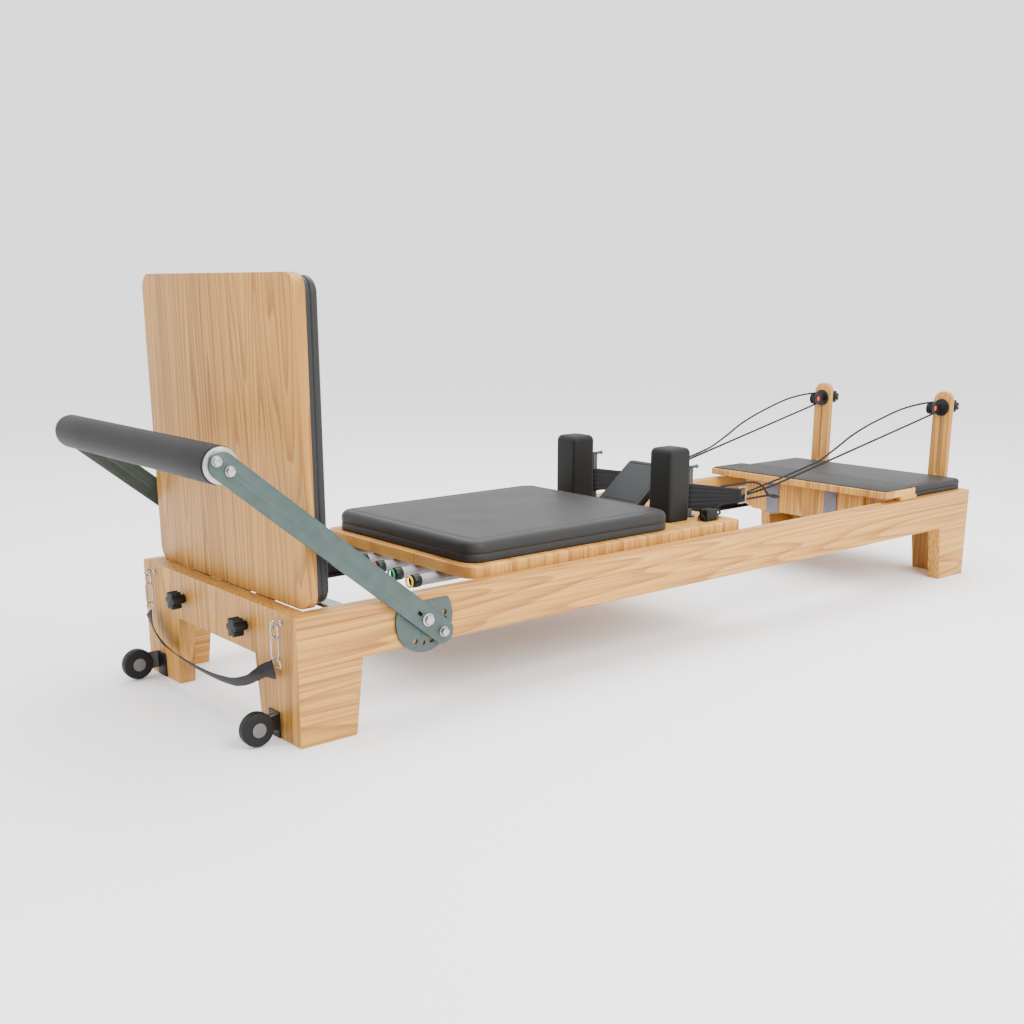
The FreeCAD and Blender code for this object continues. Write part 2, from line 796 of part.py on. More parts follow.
def loopFace(centreA, radiusA, centreB, radiusB):
    """The face round two circles and their outer tangents, in the XY plane."""
    run = centreB - centreA
    lead = math.atan2(run.y, run.x)
    lean = math.acos((radiusA - radiusB) / run.Length)
    edges = []
    corners = []
    for sign in (1, -1):
        out = Vector(math.cos(lead + sign * lean), math.sin(lead + sign * lean), 0)
        corners.append((centreA + out * radiusA, centreB + out * radiusB))
    back = Vector(math.cos(lead), math.sin(lead), 0)
    edges.append(Part.LineSegment(corners[0][0], corners[0][1]).toShape())
    edges.append(Part.Arc(corners[0][1], centreB + back * radiusB, corners[1][1]).toShape())
    edges.append(Part.LineSegment(corners[1][1], corners[1][0]).toShape())
    edges.append(Part.Arc(corners[1][0], centreA - back * radiusA, corners[0][0]).toShape())
    return Part.Face(Part.Wire(edges))


def makeHandles():
    """Webbing loops round the posts, narrower towards the links that hold the ropes."""
    loops = []
    links = []
    web = num("webThick")
    postLow, postTop, tailLow, tailTop = (num(f"handle{word}") for word in ("Low", "Top", "TailLow", "TailTop"))
    for sign in sides.values():
        post = at(num("postX"), sign * num("postY"), 290)
        tail = at(num("handleEnd"), sign * num("handleEndY"), 290)
        inner = loopFace(post, num("postRadius") + 1, tail, 3)
        outer = loopFace(post, num("postRadius") + 1 + web, tail, 3 + web)
        loop = outer.cut(inner).extrude(axisZ * 100)
        long = tail.x - post.x
        outline = []
        for x, z in ((-30, postLow), (long, tailLow), (long + 30, tailLow), (long + 30, tailTop), (long, tailTop),
                     (-30, postTop)):
            outline.append(Vector(post.x + x, tail.y - 60, z))
        wedge = Part.Face(Part.makePolygon(outline + outline[:1])).extrude(axisY * 120)
        loops.append(loop.common(wedge))
        low, top, reach = tailLow - 3, tailTop + 3, num("linkLong")
        corners = [Vector(tail.x, tail.y, low), Vector(tail.x + reach, tail.y, low),
                   Vector(tail.x + reach, tail.y, top), Vector(tail.x, tail.y, top)]
        wire = None
        for a, b in zip(corners, corners[1:] + corners[:1]):
            bar = Part.makeCylinder(2, (b - a).Length, a, b - a).fuse(Part.makeSphere(2, b))
            wire = wire.fuse(bar) if wire else bar
        links.append(wire.removeSplitter())
    keep("handles", solid(Part.makeCompound(loops)))
    keep("handle_links", solid(Part.makeCompound(links)))


def makeRopes():
    """From the handle's link over the pulley, back to a slack loop beside the handle, and into the cleat."""
    upper = [
        (1501, 200, 333), (1555, 200, 344), (1620, 200, 354), (1683, 201, 366), (1755, 203, 380), (1815, 205, 393),
        (1856, 206, 410), (1903, 207, 430), (1955, 209, 455), (2031, 211, 480), (2105, 214, 499), (2186, 217, 518),
        (2262, 220, 527), (2330, 221, 530),
    ]
    slack = [
        (1600, 204, 341), (1530, 197, 329), (1470, 183, 320), (1400, 174, 317), (1400, 174, 355), (1470, 183, 357),
        (1522, 206, 363), (1556, 213, 348), (1574, 213, 322), (1604, 211, 310), (1643, 208, 308.5),
        (1643, 171, 308.5), (1585, 171, 308), (1515, 173, 307.6), (1450, 171, 307), (1395, 188, 307),
        (1358, 222, 306), (1335, 255, 302.5), (1256, 255, 302),
    ]
    radius = num("sheaveRadius")
    hairpins = {len(upper): 17.9, len(upper) + 1: 17.9}
    for i in (3, 4, 10, 11):
        hairpins[len(upper) + 2 + i] = 18.3
    for side, sign in sides.items():
        pulley = [(num("pulleyX") + radius, num("pulleyY"), num("pulleyZ") + up * radius) for up in (1, -1)]
        points = [at(x, sign * y, z) for x, y, z in upper + pulley + slack]
        keep(f"rope_{side}", solid(sweptTube(f"rope_{side}", points, num("ropeThick"), hairpins)))


makeShoulderRests()
makePosts()
makeCleats()
makeHandles()
makeRopes()


# Headrest: a board and pad on a hinge at the head end of the deck

def makeHeadrest():
    turn = Rotation(axisY, -num("headTilt"))
    x = "headAxisX + 8 * cos(headTilt) + 4.9 * sin(headTilt)"
    z = "headAxisZ + 8 * sin(headTilt) - 4.9 * cos(headTilt)"
    board = box("headLong", "headWide", "headBoard", x, "-headWide / 2", z, turn)
    leafX = "headAxisX + 2 * cos(headTilt) + 4.9 * sin(headTilt)"
    leafZ = "headAxisZ + 2 * sin(headTilt) - 4.9 * cos(headTilt)"
    leaf = box("6.5", "50", "5", leafX, "-25", leafZ, turn)
    barrel = rod("4", "50", "headAxisX", "-25", "headAxisZ", zToY)
    bore = rod("2 + boreGap", "50", "headAxisX", "-25", "headAxisZ", zToY)
    keep("headrest_board", cut(fuse(board, leaf, barrel), bore))
    half = "headWide / 2"
    loop = [("0", f"-({half})"), ("headLong", f"-({half})"), ("headLong", half), ("0", half)]
    pad = padded("HeadrestPad", "XY_Plane", [loop], "headPad")
    rounded(pad, "10", along(axisZ))
    rounded(pad, "5", onFace(axisZ, num("headPad")))
    padX = f"{x} - headBoard * sin(headTilt)"
    padZ = f"{z} + headBoard * cos(headTilt)"
    keep("headrest_pad", put(pad, padX, "0", padZ, turn))
    knuckles = [rod("2", "82", "headAxisX", "-41", "headAxisZ", zToY)]
    for y in ("-41", "26"):
        knuckles.append(rod("4", "15", "headAxisX", y, "headAxisZ", zToY))
        knuckles.append(box("8", "15", "headAxisZ - deckTop", "headAxisX - 4", y, "deckTop"))
        knuckles.append(box("26", "15", "1.5", "headAxisX - 26", y, "deckTop"))
    keep("headrest_hinge", fuse(*knuckles))


makeHeadrest()


# Risers at the head end, each with a rope pulley held in its slot by a clamp knob

def makeRisers():
    for side, sign in sides.items():
        y = f"{sign} * riserY"
        half = "riserWide / 2"
        body = box("riserThick", "riserWide", f"riserTop - {half} - riserLow", "railLength", f"{y} - {half}", "riserLow")
        arch = rod(half, "riserThick", "railLength", y, f"riserTop - {half}", zToX)
        slot = box("riserThick", "slotWide", "pulleyZ + 14 - slotLow", "railLength", f"{y} - slotWide / 2", "slotLow")
        ends = [rod("slotWide / 2", "riserThick", "railLength", y, z, zToX) for z in ("slotLow", "pulleyZ + 14")]
        keep(f"riser_{side}", cut(fuse(body, arch), slot, *ends))


def groovedWheel():
    """A wheel about Y with a half-round groove for the rope."""
    rim, half, groove, bore = (num(t) for t in ("sheaveRadius", "sheaveWide / 2", "ropeThick / 2 + 0.1", "3 + boreGap"))
    corners = [Vector(rim, groove, 0), Vector(rim, half, 0), Vector(bore, half, 0), Vector(bore, -half, 0),
               Vector(rim, -half, 0), Vector(rim, -groove, 0)]
    edges = [Part.LineSegment(a, b).toShape() for a, b in zip(corners, corners[1:])]
    edges.append(Part.Arc(corners[-1], Vector(rim - groove, 0, 0), corners[0]).toShape())
    return Part.Face(Part.Wire(edges)).revolve(Vector(0, 0, 0), axisY, 360)


def makePulleys():
    bolts = []
    housings = []
    caps = []
    for side, sign in sides.items():
        y = f"{sign} * riserY"
        plane = f"{sign} * pulleyY"
        disc = rod("discRadius", "5.9", "railLength - 6", y, "pulleyZ", zToX)
        dome = rod("11", "8", "railLength - 14", y, "pulleyZ", zToX)
        stud = rod("4", "54", "railLength - 10", y, "pulleyZ", zToX)
        bolts.append(fuse(disc, dome, stud))
        for z in ("riserLow + 36", "railTop - 30"):
            washer = rod("9", "1.5", "railLength + riserThick", y, z, zToX)
            head = hexRod("7.5", "5", "railLength + riserThick + 1.5", y, z, zToX)
            bolts.append(fuse(washer, head))
        cheeks = []
        for gap in ("-10", "7"):
            cheeks.append(rod("sheaveRadius + 1", "3", "pulleyX", f"{plane} + {gap}", "pulleyZ", zToY))
            cheeks.append(box("31", "3", "20", "pulleyX", f"{plane} + {gap}", "pulleyZ - 10"))
        block = box("8", "20", "20", "railLength - 22", f"{plane} - 10", "pulleyZ - 10")
        axle = rod("3", "20", "pulleyX", f"{plane} - 10", "pulleyZ", zToY)
        housings.append(fuse(axle, block, *cheeks))
        for start in ("-12", "10"):
            caps.append(rod("7.5", "2", "pulleyX", f"{plane} + {start}", "pulleyZ", zToY))
        sheave = solid(groovedWheel())
        keep(f"sheave_{side}", put(sheave, "pulleyX", plane, "pulleyZ"))
        hub = Part.makeCylinder(11, 26, Vector(0, 0, 0), axisX)
        star = starKnob(7, 20, 24, 0)
        star.translate(Vector(25, 0, 0))
        bore = Part.makeCylinder(num("4 + boreGap"), 26, Vector(0, 0, 0), axisX)
        knob = solid(hub.fuse(star).removeSplitter().cut(bore))
        knob.Placement = Placement(at(num("railLength + riserThick") + 0.4, sign * num("riserY"), num("pulleyZ")), noTurn)
        keep(f"riser_knob_{side}", knob)
    keep("riser_bolts", group(*bolts))
    keep("pulley_housings", group(*housings))
    keep("pulley_caps", group(*caps))


makeRisers()
makePulleys()


# End platform: matted plank, brace, base and head cushion

def makePlatform():
    half = "plankWide / 2"
    long = "plankEnd - plankStart"
    plankLoop = [("0", f"-({half})"), (long, f"-({half})"), (long, half), ("0", half)]
    plank = padded("Plank", "XY_Plane", [plankLoop], "plankThick")
    rounded(plank, "8", along(axisZ))
    rounded(plank, "3", onFace(axisZ, num("plankThick")))
    keep("platform_plank", put(plank, "plankStart", "0", "plankLow"))
    inside = "plankWide / 2 - matInset"
    matLoop = [("0", f"-({inside})"), (f"{long} - 2 * matInset", f"-({inside})"), (f"{long} - 2 * matInset", inside),
               ("0", inside)]
    mat = padded("Mat", "XY_Plane", [matLoop], "matThick")
    rounded(mat, "10", along(axisZ))
    keep("platform_mat", put(mat, "plankStart + matInset", "0", "plankLow + plankThick"))
    inner = "frameWide / 2 - railThick"
    panel = box("railLength - railThick - plankEnd", f"2 * ({inner})", "18", "plankEnd", f"-({inner})", "railTop - 18")
    battens = [box("80", "38", "plankLow - railTop", "plankEnd - 77", y, "railTop") for y in ("-336", "298")]
    outline = [
        ("-braceWide / 2", "braceLow + 14"),
        ("-braceWide / 2 + 36", "braceLow"),
        ("braceWide / 2 - 36", "braceLow"),
        ("braceWide / 2", "braceLow + 14"),
        ("braceWide / 2", "plankLow"),
        ("-braceWide / 2", "plankLow"),
    ]
    brace = padded("Brace", "YZ_Plane", [outline], "braceThick")
    put(brace, "braceX", "0", "0")
    keep("platform_base", group(panel, *battens, brace))
    straps = []
    for y in ("-strapY", "strapY"):
        left = f"{y} - strapWide / 2"
        upright = box("3.7", "strapWide", "plankLow - braceLow + 4", "braceX - 4", left, "braceLow - 4.3")
        under = box("braceThick + 4", "strapWide", "4", "braceX - 4", left, "braceLow - 4.3")
        straps.append(fuse(upright, under))
    keep("platform_straps", group(*straps))
    half = "cushionWide / 2"
    long = "cushionEnd - plankEnd - 4"
    cushionLoop = [("0", f"-({half})"), (long, f"-({half})"), (long, half), ("0", half)]
    cushion = padded("Cushion", "XY_Plane", [cushionLoop], "cushionThick")
    rounded(cushion, "14", along(axisZ))
    rounded(cushion, "12", onFace(axisZ, num("cushionThick")))
    rounded(cushion, "5", onFace(axisZ, 0))
    keep("head_cushion", put(cushion, "plankEnd + 4", "0", "railTop"))


makePlatform()


# Foot end: transport wheels on brackets, and the carry strap with its rings and hooks

def makeTransport():
    brackets = []
    for side, plateY, armY, wheelY in (("near", "-268", "-268", "-292"), ("far", "259", "296", "272")):
        plate = box("4", "41", "54", "-4", plateY, "1")
        arm = box("-rollX + 12", "4", "40", "rollX - 12", armY, "rollZ - 22")
        axle = rod("4", "28", "rollX", f"{wheelY} - 2", "rollZ", zToY)
        cap = rod("15", "1.6", "rollX", f"{wheelY} - 2", "rollZ", zToY)
        brackets.append(fuse(plate, arm, axle, cap))
        tyre = rod("rollRadius", "rollWide", "rollX", wheelY, "rollZ", zToY)
        bore = rod("4 + boreGap", "rollWide", "rollX", wheelY, "rollZ", zToY)
        keep(f"transport_wheel_{side}", cut(tyre, bore))
    keep("wheel_brackets", group(*brackets))


def makeStrapHardware():
    pieces = []
    for sign in sides.values():
        y = f"{sign} * ringY"
        eyeZ = "ringZ + ringRadius"
        eye = torus("7", "2", "ringX", y, eyeZ, Rotation(axisX, 90))
        shank = rod("2", "7.5", "-7.5", y, eyeZ, zToX)
        flange = rod("6", "2", "-2", y, eyeZ, zToX)
        pieces.append(fuse(eye, shank, flange))
        pieces.append(torus("ringRadius", "2", "ringX", y, "ringZ", zToX))
        hookTop = num("ringZ - ringRadius") + 4.1
        pieces.append(carabiner(at(num("ringX"), num(y), hookTop - 23), 8, 15))
        pieces.append(dRing(at(num("ringX"), num(y), hookTop - 46 - 15.3), 19))
    keep("strap_hardware", group(*[p if hasattr(p, "Label") else solid(p) for p in pieces]))


def carabiner(centre, radius, half):
    """A long link in the XZ plane."""
    upper, lower = centre + axisZ * half, centre - axisZ * half
    left, right = axisX * -radius, axisX * radius
    edges = [
        Part.LineSegment(lower + left, upper + left).toShape(),
        Part.Arc(upper + left, upper + axisZ * radius, upper + right).toShape(),
        Part.LineSegment(upper + right, lower + right).toShape(),
        Part.Arc(lower + right, lower - axisZ * radius, lower + left).toShape(),
    ]
    profile = Part.Wire([Part.Circle(lower + left, axisZ, 1.75).toShape()])
    return Part.Wire(edges).makePipeShell([profile], True, False)


def dRing(centre, radius):
    """A half ring in the YZ plane, closed by a straight bar."""
    arch = Part.makeTorus(radius, 1.5, centre, axisX)
    arch = arch.common(Part.makeBox(8, 3 * radius, radius + 4, centre - Vector(4, 1.5 * radius, 0)))
    bar = Part.makeCylinder(1.5, 2 * radius, centre - axisY * radius, axisY)
    ends = [Part.makeSphere(1.5, centre + axisY * (sign * radius)) for sign in (-1, 1)]
    return bar.fuse(ends + [arch]).removeSplitter()


def makeCarryStrap():
    """Webbing hung between the rings; it turns from facing forward to half upward on the way."""
    centres = [
        (290, 154), (280, 138), (264, 119), (232, 103), (191, 91), (142, 84), (91, 80.5), (32, 79), (-28, 79.5),
        (-70, 82), (-110, 87), (-148, 96), (-186, 110), (-226, 128), (-260, 143), (-288, 154),
    ]
    sections = []
    count = len(centres)
    for i, (y, z) in enumerate(centres):
        before, after = centres[max(i - 1, 0)], centres[min(i + 1, count - 1)]
        lead = Vector(0, after[0] - before[0], after[1] - before[1]).normalize()
        share = min(1, i / 4, (count - 1 - i) / 4)
        side = lead.cross(axisX) * (1 - share) + Vector(0.7, 0, 0.7).cross(lead).cross(lead) * -share
        side = (side - lead * side.dot(lead)).normalize()
        face = side.cross(lead)
        middle = at(num("ringX") - 4.4 - 4.6 * share, y, z)
        wide, thick = side * (num("carryWide") / 2), face * (num("carryThick") / 2)
        corners = [middle + wide + thick, middle - wide + thick, middle - wide - thick, middle + wide - thick]
        sections.append(Part.makePolygon(corners + corners[:1]))
    keep("carry_strap", solid(Part.makeLoft(sections, True, True)))


makeTransport()
makeStrapHardware()
makeCarryStrap()
doc.recompute()

for thing in doc.Objects:
    if "Invalid" in thing.State or "Error" in thing.State:
        raise ValueError(f"{thing.Name} ({thing.Label}) is {thing.State}")
for label, thing in made.items():
    shape = thing.Shape
    if shape.isNull() or not shape.isValid():
        raise ValueError(f"{label} has no good shape")
    shape.exportStep(f"parts/{label}.step")
    room = shape.BoundBox
    print(f"{label}: {len(shape.Solids)} solid(s), {shape.Volume / 1000:.0f} cm3,"
          f" {room.XLength:.0f} x {room.YLength:.0f} x {room.ZLength:.0f}, low {room.ZMin:.1f}")
print(len(made), "nodes")
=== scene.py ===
# Pilates reformer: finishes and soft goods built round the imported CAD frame. Metres, row frame.
import math
import bmesh
import bpy
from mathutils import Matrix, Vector


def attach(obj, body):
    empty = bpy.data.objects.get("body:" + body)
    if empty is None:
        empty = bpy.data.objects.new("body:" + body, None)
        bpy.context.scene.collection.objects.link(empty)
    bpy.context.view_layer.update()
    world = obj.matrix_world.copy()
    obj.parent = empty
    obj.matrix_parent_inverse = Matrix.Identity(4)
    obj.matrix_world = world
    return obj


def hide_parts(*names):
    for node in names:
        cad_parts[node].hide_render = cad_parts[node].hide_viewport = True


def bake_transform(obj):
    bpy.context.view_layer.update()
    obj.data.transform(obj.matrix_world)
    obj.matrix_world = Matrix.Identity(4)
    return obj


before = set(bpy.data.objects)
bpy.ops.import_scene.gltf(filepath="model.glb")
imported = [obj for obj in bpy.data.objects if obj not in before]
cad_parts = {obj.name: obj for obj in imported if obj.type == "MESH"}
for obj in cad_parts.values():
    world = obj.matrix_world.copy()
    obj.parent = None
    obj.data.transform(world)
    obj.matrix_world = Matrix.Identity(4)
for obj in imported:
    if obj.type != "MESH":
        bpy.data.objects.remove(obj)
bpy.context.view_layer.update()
scene = bpy.context.scene
footEnd = -1.147  # x of the foot end board's outer face
print("frame loaded:", len(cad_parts), "nodes")


def fromFoot(x, y, z):
    # millimetres, x counted from the foot end of the rails
    return Vector((footEnd + x / 1000, y / 1000, z / 1000))


# camera

cameraSettings = {
    "place": (-2.2873, -2.3573, 0.8839),
    "tilt": 74.94,
    "heading": -39.89,
    "lens": 43.28,
    "rise": 0.1015,
}


def makeCamera(settings):
    camera = bpy.data.objects.new("camera", bpy.data.cameras.new("camera"))
    camera.location = settings["place"]
    camera.rotation_euler = (math.radians(settings["tilt"]), 0, math.radians(settings["heading"]))
    camera.data.lens = settings["lens"]
    camera.data.sensor_width = 36
    camera.data.shift_y = settings["rise"]
    scene.collection.objects.link(camera)
    scene.camera = camera


makeCamera(cameraSettings)


# small helpers for finishes

def startFinish(name, colour, roughness, metallic=0.0, coat=0.0):
    material = bpy.data.materials.new(name)
    material.use_nodes = True
    tree = material.node_tree
    shader = tree.nodes["Principled BSDF"]
    shader.inputs["Base Color"].default_value = (*colour, 1)
    shader.inputs["Roughness"].default_value = roughness
    shader.inputs["Metallic"].default_value = metallic
    shader.inputs["Coat Weight"].default_value = coat
    shader.inputs["Coat Roughness"].default_value = 0.3
    shader.inputs["Specular IOR Level"].default_value = 0.5 if metallic else 0.28
    return material, tree, shader


def addNode(tree, kind, **settings):
    node = tree.nodes.new(kind)
    for key, value in settings.items():
        if key in node.inputs:
            node.inputs[key].default_value = value
        else:
            setattr(node, key, value)
    return node


def placedNoise(tree, stretch, scale, detail=2.0, coords="Object", turn=(0, 0, 0), roughness=0.5):
    where = addNode(tree, "ShaderNodeTexCoord")
    mapping = addNode(tree, "ShaderNodeMapping", Scale=stretch, Rotation=turn)
    noise = addNode(tree, "ShaderNodeTexNoise", Scale=scale, Detail=detail, Roughness=roughness)
    tree.links.new(where.outputs[coords], mapping.inputs["Vector"])
    tree.links.new(mapping.outputs["Vector"], noise.inputs["Vector"])
    return noise.outputs["Fac"]


def calculate(tree, operation, first, second=None):
    node = addNode(tree, "ShaderNodeMath", operation=operation)
    for socket, value in zip(node.inputs, (first, second)):
        if value is None:
            continue
        if isinstance(value, (int, float)):
            socket.default_value = value
        else:
            tree.links.new(value, socket)
    return node.outputs["Value"]


def ramp(tree, value, *stops):
    node = addNode(tree, "ShaderNodeValToRGB")
    while len(node.color_ramp.elements) < len(stops):
        node.color_ramp.elements.new(0.5)
    for element, (place, colour) in zip(node.color_ramp.elements, stops):
        element.position = place
        element.color = (*colour, 1)
    tree.links.new(value, node.inputs["Fac"])
    return node.outputs["Color"]


def blendColours(tree, share, first, second, mode="MIX"):
    node = addNode(tree, "ShaderNodeMix", data_type="RGBA", blend_type=mode)
    for socket, value in ((node.inputs[0], share), (node.inputs[6], first), (node.inputs[7], second)):
        if isinstance(value, (int, float)):
            socket.default_value = value
        elif isinstance(value, tuple):
            socket.default_value = (*value, 1)
        else:
            tree.links.new(value, socket)
    return node.outputs[2]


def addBump(tree, shader, height, strength, distance):
    bump = addNode(tree, "ShaderNodeBump", Strength=strength, Distance=distance)
    tree.links.new(height, bump.inputs["Height"])
    tree.links.new(bump.outputs["Normal"], shader.inputs["Normal"])
    return bump


def varyRoughness(tree, shader, low, high, scale=60):
    spread = placedNoise(tree, (1, 1, 1), scale, 4)
    span = addNode(tree, "ShaderNodeMapRange")
    span.inputs["To Min"].default_value = low
    span.inputs["To Max"].default_value = high
    tree.links.new(spread, span.inputs["Value"])
    tree.links.new(span.outputs["Result"], shader.inputs["Roughness"])


# wood

woodSettings = {
    "pale": (0.66, 0.350, 0.082),
    "middle": (0.56, 0.275, 0.058),
    "dark": (0.33, 0.135, 0.024),
    "rings": 17,
    "across": 11.0,
    "along": 0.45,
    "lines": (95.0, 0.5),  # across and along the grain, as are the next two
    "fibres": (420.0, 5.0),
    "patches": (6.0, 0.6),
    "ringShare": 0.62,
    "poreShare": 0.5,
    "relief": 0.15,
    "roughness": 0.45,
    "coat": 0.0,
}


def grainStretch(longAxes, across, along):
    return tuple(along if axis in longAxes else across for axis in "xyz")


def makeWood(name, longAxes, settings, shift=0.0, tone=1.0):
    # the grain is drawn out along longAxes, and its rings are the level lines of a stretched noise
    material, tree, shader = startFinish(name, settings["middle"], settings["roughness"], coat=settings["coat"])
    stretch = grainStretch(longAxes, settings["across"], settings["along"])
    where = addNode(tree, "ShaderNodeTexCoord")
    mapping = addNode(tree, "ShaderNodeMapping", Scale=stretch, Location=(shift, shift * 1.7, shift * 0.6))
    tree.links.new(where.outputs["Object"], mapping.inputs["Vector"])
    waves = addNode(tree, "ShaderNodeTexNoise", Scale=1.0, Detail=1.6, Roughness=0.3, Distortion=0.1)
    tree.links.new(mapping.outputs["Vector"], waves.inputs["Vector"])
    rings = calculate(tree, "FRACT", calculate(tree, "MULTIPLY", waves.outputs["Fac"], settings["rings"]))
    # tone scales all three wood colours; the end boards and the jump board use 0.84 as painted shade
    pale, middle, dark = (tuple(c * tone for c in settings[k]) for k in ("pale", "middle", "dark"))
    grain = ramp(tree, rings, (0.0, pale), (0.55, middle), (0.86, dark), (0.93, dark), (1.0, pale))
    # straight early-wood lines between the rings
    lines = placedNoise(tree, grainStretch(longAxes, *settings["lines"]), 1.0, 2)
    streaks = ramp(tree, lines, (0.38, (0.78, 0.72, 0.66)), (0.50, (1, 1, 1)), (0.66, (1.05, 1.06, 1.08)))
    fibres = placedNoise(tree, grainStretch(longAxes, *settings["fibres"]), 1.0, 3)
    pores = ramp(tree, fibres, (0.36, (0.60, 0.56, 0.52)), (0.52, (1, 1, 1)))
    patches = placedNoise(tree, grainStretch(longAxes, *settings["patches"]), 1.0, 1)
    tint = ramp(tree, patches, (0.3, (0.88, 0.87, 0.85)), (0.7, (1.06, 1.06, 1.06)))
    plain = blendColours(tree, settings["ringShare"], middle, grain)
    grain = blendColours(tree, 1.0, plain, streaks, "MULTIPLY")
    grain = blendColours(tree, settings["poreShare"], grain, blendColours(tree, 1.0, grain, pores, "MULTIPLY"))
    grain = blendColours(tree, 1.0, grain, tint, "MULTIPLY")
    tree.links.new(grain, shader.inputs["Base Color"])
    height = calculate(tree, "ADD", calculate(tree, "MULTIPLY", fibres, 0.6), calculate(tree, "MULTIPLY", lines, 0.3))
    addBump(tree, shader, height, settings["relief"], 0.0005)
    return material


railWood = makeWood("rail wood", "x", woodSettings, 3.1)
# end board and jump board wood darkened to 0.84: painted shade for faces turned away from the key light
shadedEndWood = makeWood("end board wood", "z", woodSettings, 7.7, 0.84)
shadedPanelWood = makeWood("jump board wood", "z", {**woodSettings, "along": 0.9, "across": 9.0}, 12.3, 0.84)
deckWood = makeWood("deck wood", "yz", {**woodSettings, "rings": 11, "across": 9.5}, 5.2, 1.06)
plankWood = makeWood("platform wood", "xz", {**woodSettings, "across": 12}, 9.4, 1.02)
riserWood = makeWood("riser wood", "z", {**woodSettings, "across": 16, "rings": 10}, 2.6)


# vinyl, foam and mat

vinylSettings = {"colour": (0.014, 0.014, 0.014), "roughness": 0.50, "grain": 1100, "bump": 0.16}


def makeVinyl(name, settings):
    material, tree, shader = startFinish(name, settings["colour"], settings["roughness"])
    where = addNode(tree, "ShaderNodeTexCoord")
    cells = addNode(tree, "ShaderNodeTexVoronoi", feature="SMOOTH_F1", Scale=settings["grain"], Smoothness=0.6)
    tree.links.new(where.outputs["Object"], cells.inputs["Vector"])
    soft = placedNoise(tree, (1, 1, 1), 14, 3)
    height = calculate(tree, "ADD", cells.outputs["Distance"], calculate(tree, "MULTIPLY", soft, 0.5))
    addBump(tree, shader, height, settings["bump"], 0.0004)
    varyRoughness(tree, shader, settings["roughness"] - 0.05, settings["roughness"] + 0.08, 9)
    shader.inputs["Sheen Weight"].default_value = 0.03
    shader.inputs["Sheen Roughness"].default_value = 0.4
    return material


def scaled(colour, share):
    return tuple(min(1, c * share) for c in colour)


def makeFoam(name, colour, roughness, scale, strength):
    material, tree, shader = startFinish(name, colour, roughness)
    pits = placedNoise(tree, (1, 1, 1), scale, 4, roughness=0.65)
    addBump(tree, shader, pits, strength, 0.0005)
    blotches = placedNoise(tree, (1, 1, 1), 18, 3)
    shade = ramp(tree, blotches, (0.3, scaled(colour, 0.8)), (0.7, scaled(colour, 1.25)))
    tree.links.new(shade, shader.inputs["Base Color"])
    return material


padVinyl = makeVinyl("pad vinyl", vinylSettings)
restVinyl = makeVinyl("shoulder rest vinyl", {**vinylSettings, "colour": (0.004, 0.004, 0.0037), "roughness": 0.58})
headVinyl = makeVinyl("headrest vinyl", {**vinylSettings, "colour": (0.013, 0.0165, 0.017), "roughness": 0.55})
barFoam = makeFoam("foot bar foam", (0.0055, 0.0055, 0.0058), 0.58, 1400, 0.25)
gripMat = makeFoam("grip mat", (0.022, 0.022, 0.0215), 0.66, 2600, 0.35)


# metals and plastics

def makeMetal(name, colour, roughness, metallic, brush=None, mottle=0.12):
    material, tree, shader = startFinish(name, colour, roughness, metallic)
    stretch = brush or (1, 1, 1)
    scratches = placedNoise(tree, stretch, 300, 3)
    addBump(tree, shader, scratches, 0.05, 0.0002)
    tone = placedNoise(tree, (1, 1, 1), 35, 3)
    shade = ramp(tree, tone, (0.3, scaled(colour, 1 - mottle)), (0.7, scaled(colour, 1 + mottle)))
    tree.links.new(shade, shader.inputs["Base Color"])
    varyRoughness(tree, shader, roughness - 0.06, roughness + 0.08)
    return material


def makePlastic(name, colour, roughness, grain=1800, strength=0.12, coat=0.0):
    material, tree, shader = startFinish(name, colour, roughness, coat=coat)
    addBump(tree, shader, placedNoise(tree, (1, 1, 1), grain, 2), strength, 0.0003)
    varyRoughness(tree, shader, roughness - 0.05, roughness + 0.08, 40)
    return material


slateMetal = makeMetal("slate anodised metal", (0.050, 0.074, 0.070), 0.38, 0.45, (1, 1, 12))
strapMetal = makeMetal("platform bracket metal", (0.15, 0.14, 0.18), 0.5, 0.3)
barMetal = makeMetal("spring bar metal", (0.24, 0.25, 0.27), 0.45, 0.4)
blackMetal = makeMetal("black powder coat", (0.005, 0.005, 0.005), 0.5, 0.2)
zincSteel = makeMetal("zinc plated steel", (0.40, 0.395, 0.38), 0.28, 1.0)
postSteel = makeMetal("dark post steel", (0.055, 0.055, 0.055), 0.34, 0.8)
springSteel = makeMetal("spring sleeve", (0.30, 0.29, 0.30), 0.45, 0.1)
knobPlastic = makePlastic("knob plastic", (0.004, 0.006, 0.005), 0.55)
blackPlastic = makePlastic("black plastic", (0.006, 0.006, 0.006), 0.42)
springCapPlastic = makePlastic("spring cap plastic", (0.008, 0.015, 0.012), 0.4)
hubPlastic = makePlastic("wheel hub plastic", (0.11, 0.11, 0.11), 0.5)
rollerRubber = makePlastic("roller urethane", (0.004, 0.004, 0.004), 0.55, 900, 0.25)
redPlastic = makePlastic("pulley cap red", (0.55, 0.02, 0.015), 0.3, coat=0.3)
yellowPlastic = makePlastic("spring ring yellow", (0.75, 0.50, 0.04), 0.35)
greenPlastic = makePlastic("spring ring green", (0.01, 0.28, 0.10), 0.35)
ringRed = makePlastic("spring ring red", (0.50, 0.03, 0.02), 0.35)


# woven finishes, drawn from the strip's own u (across) and v (along)

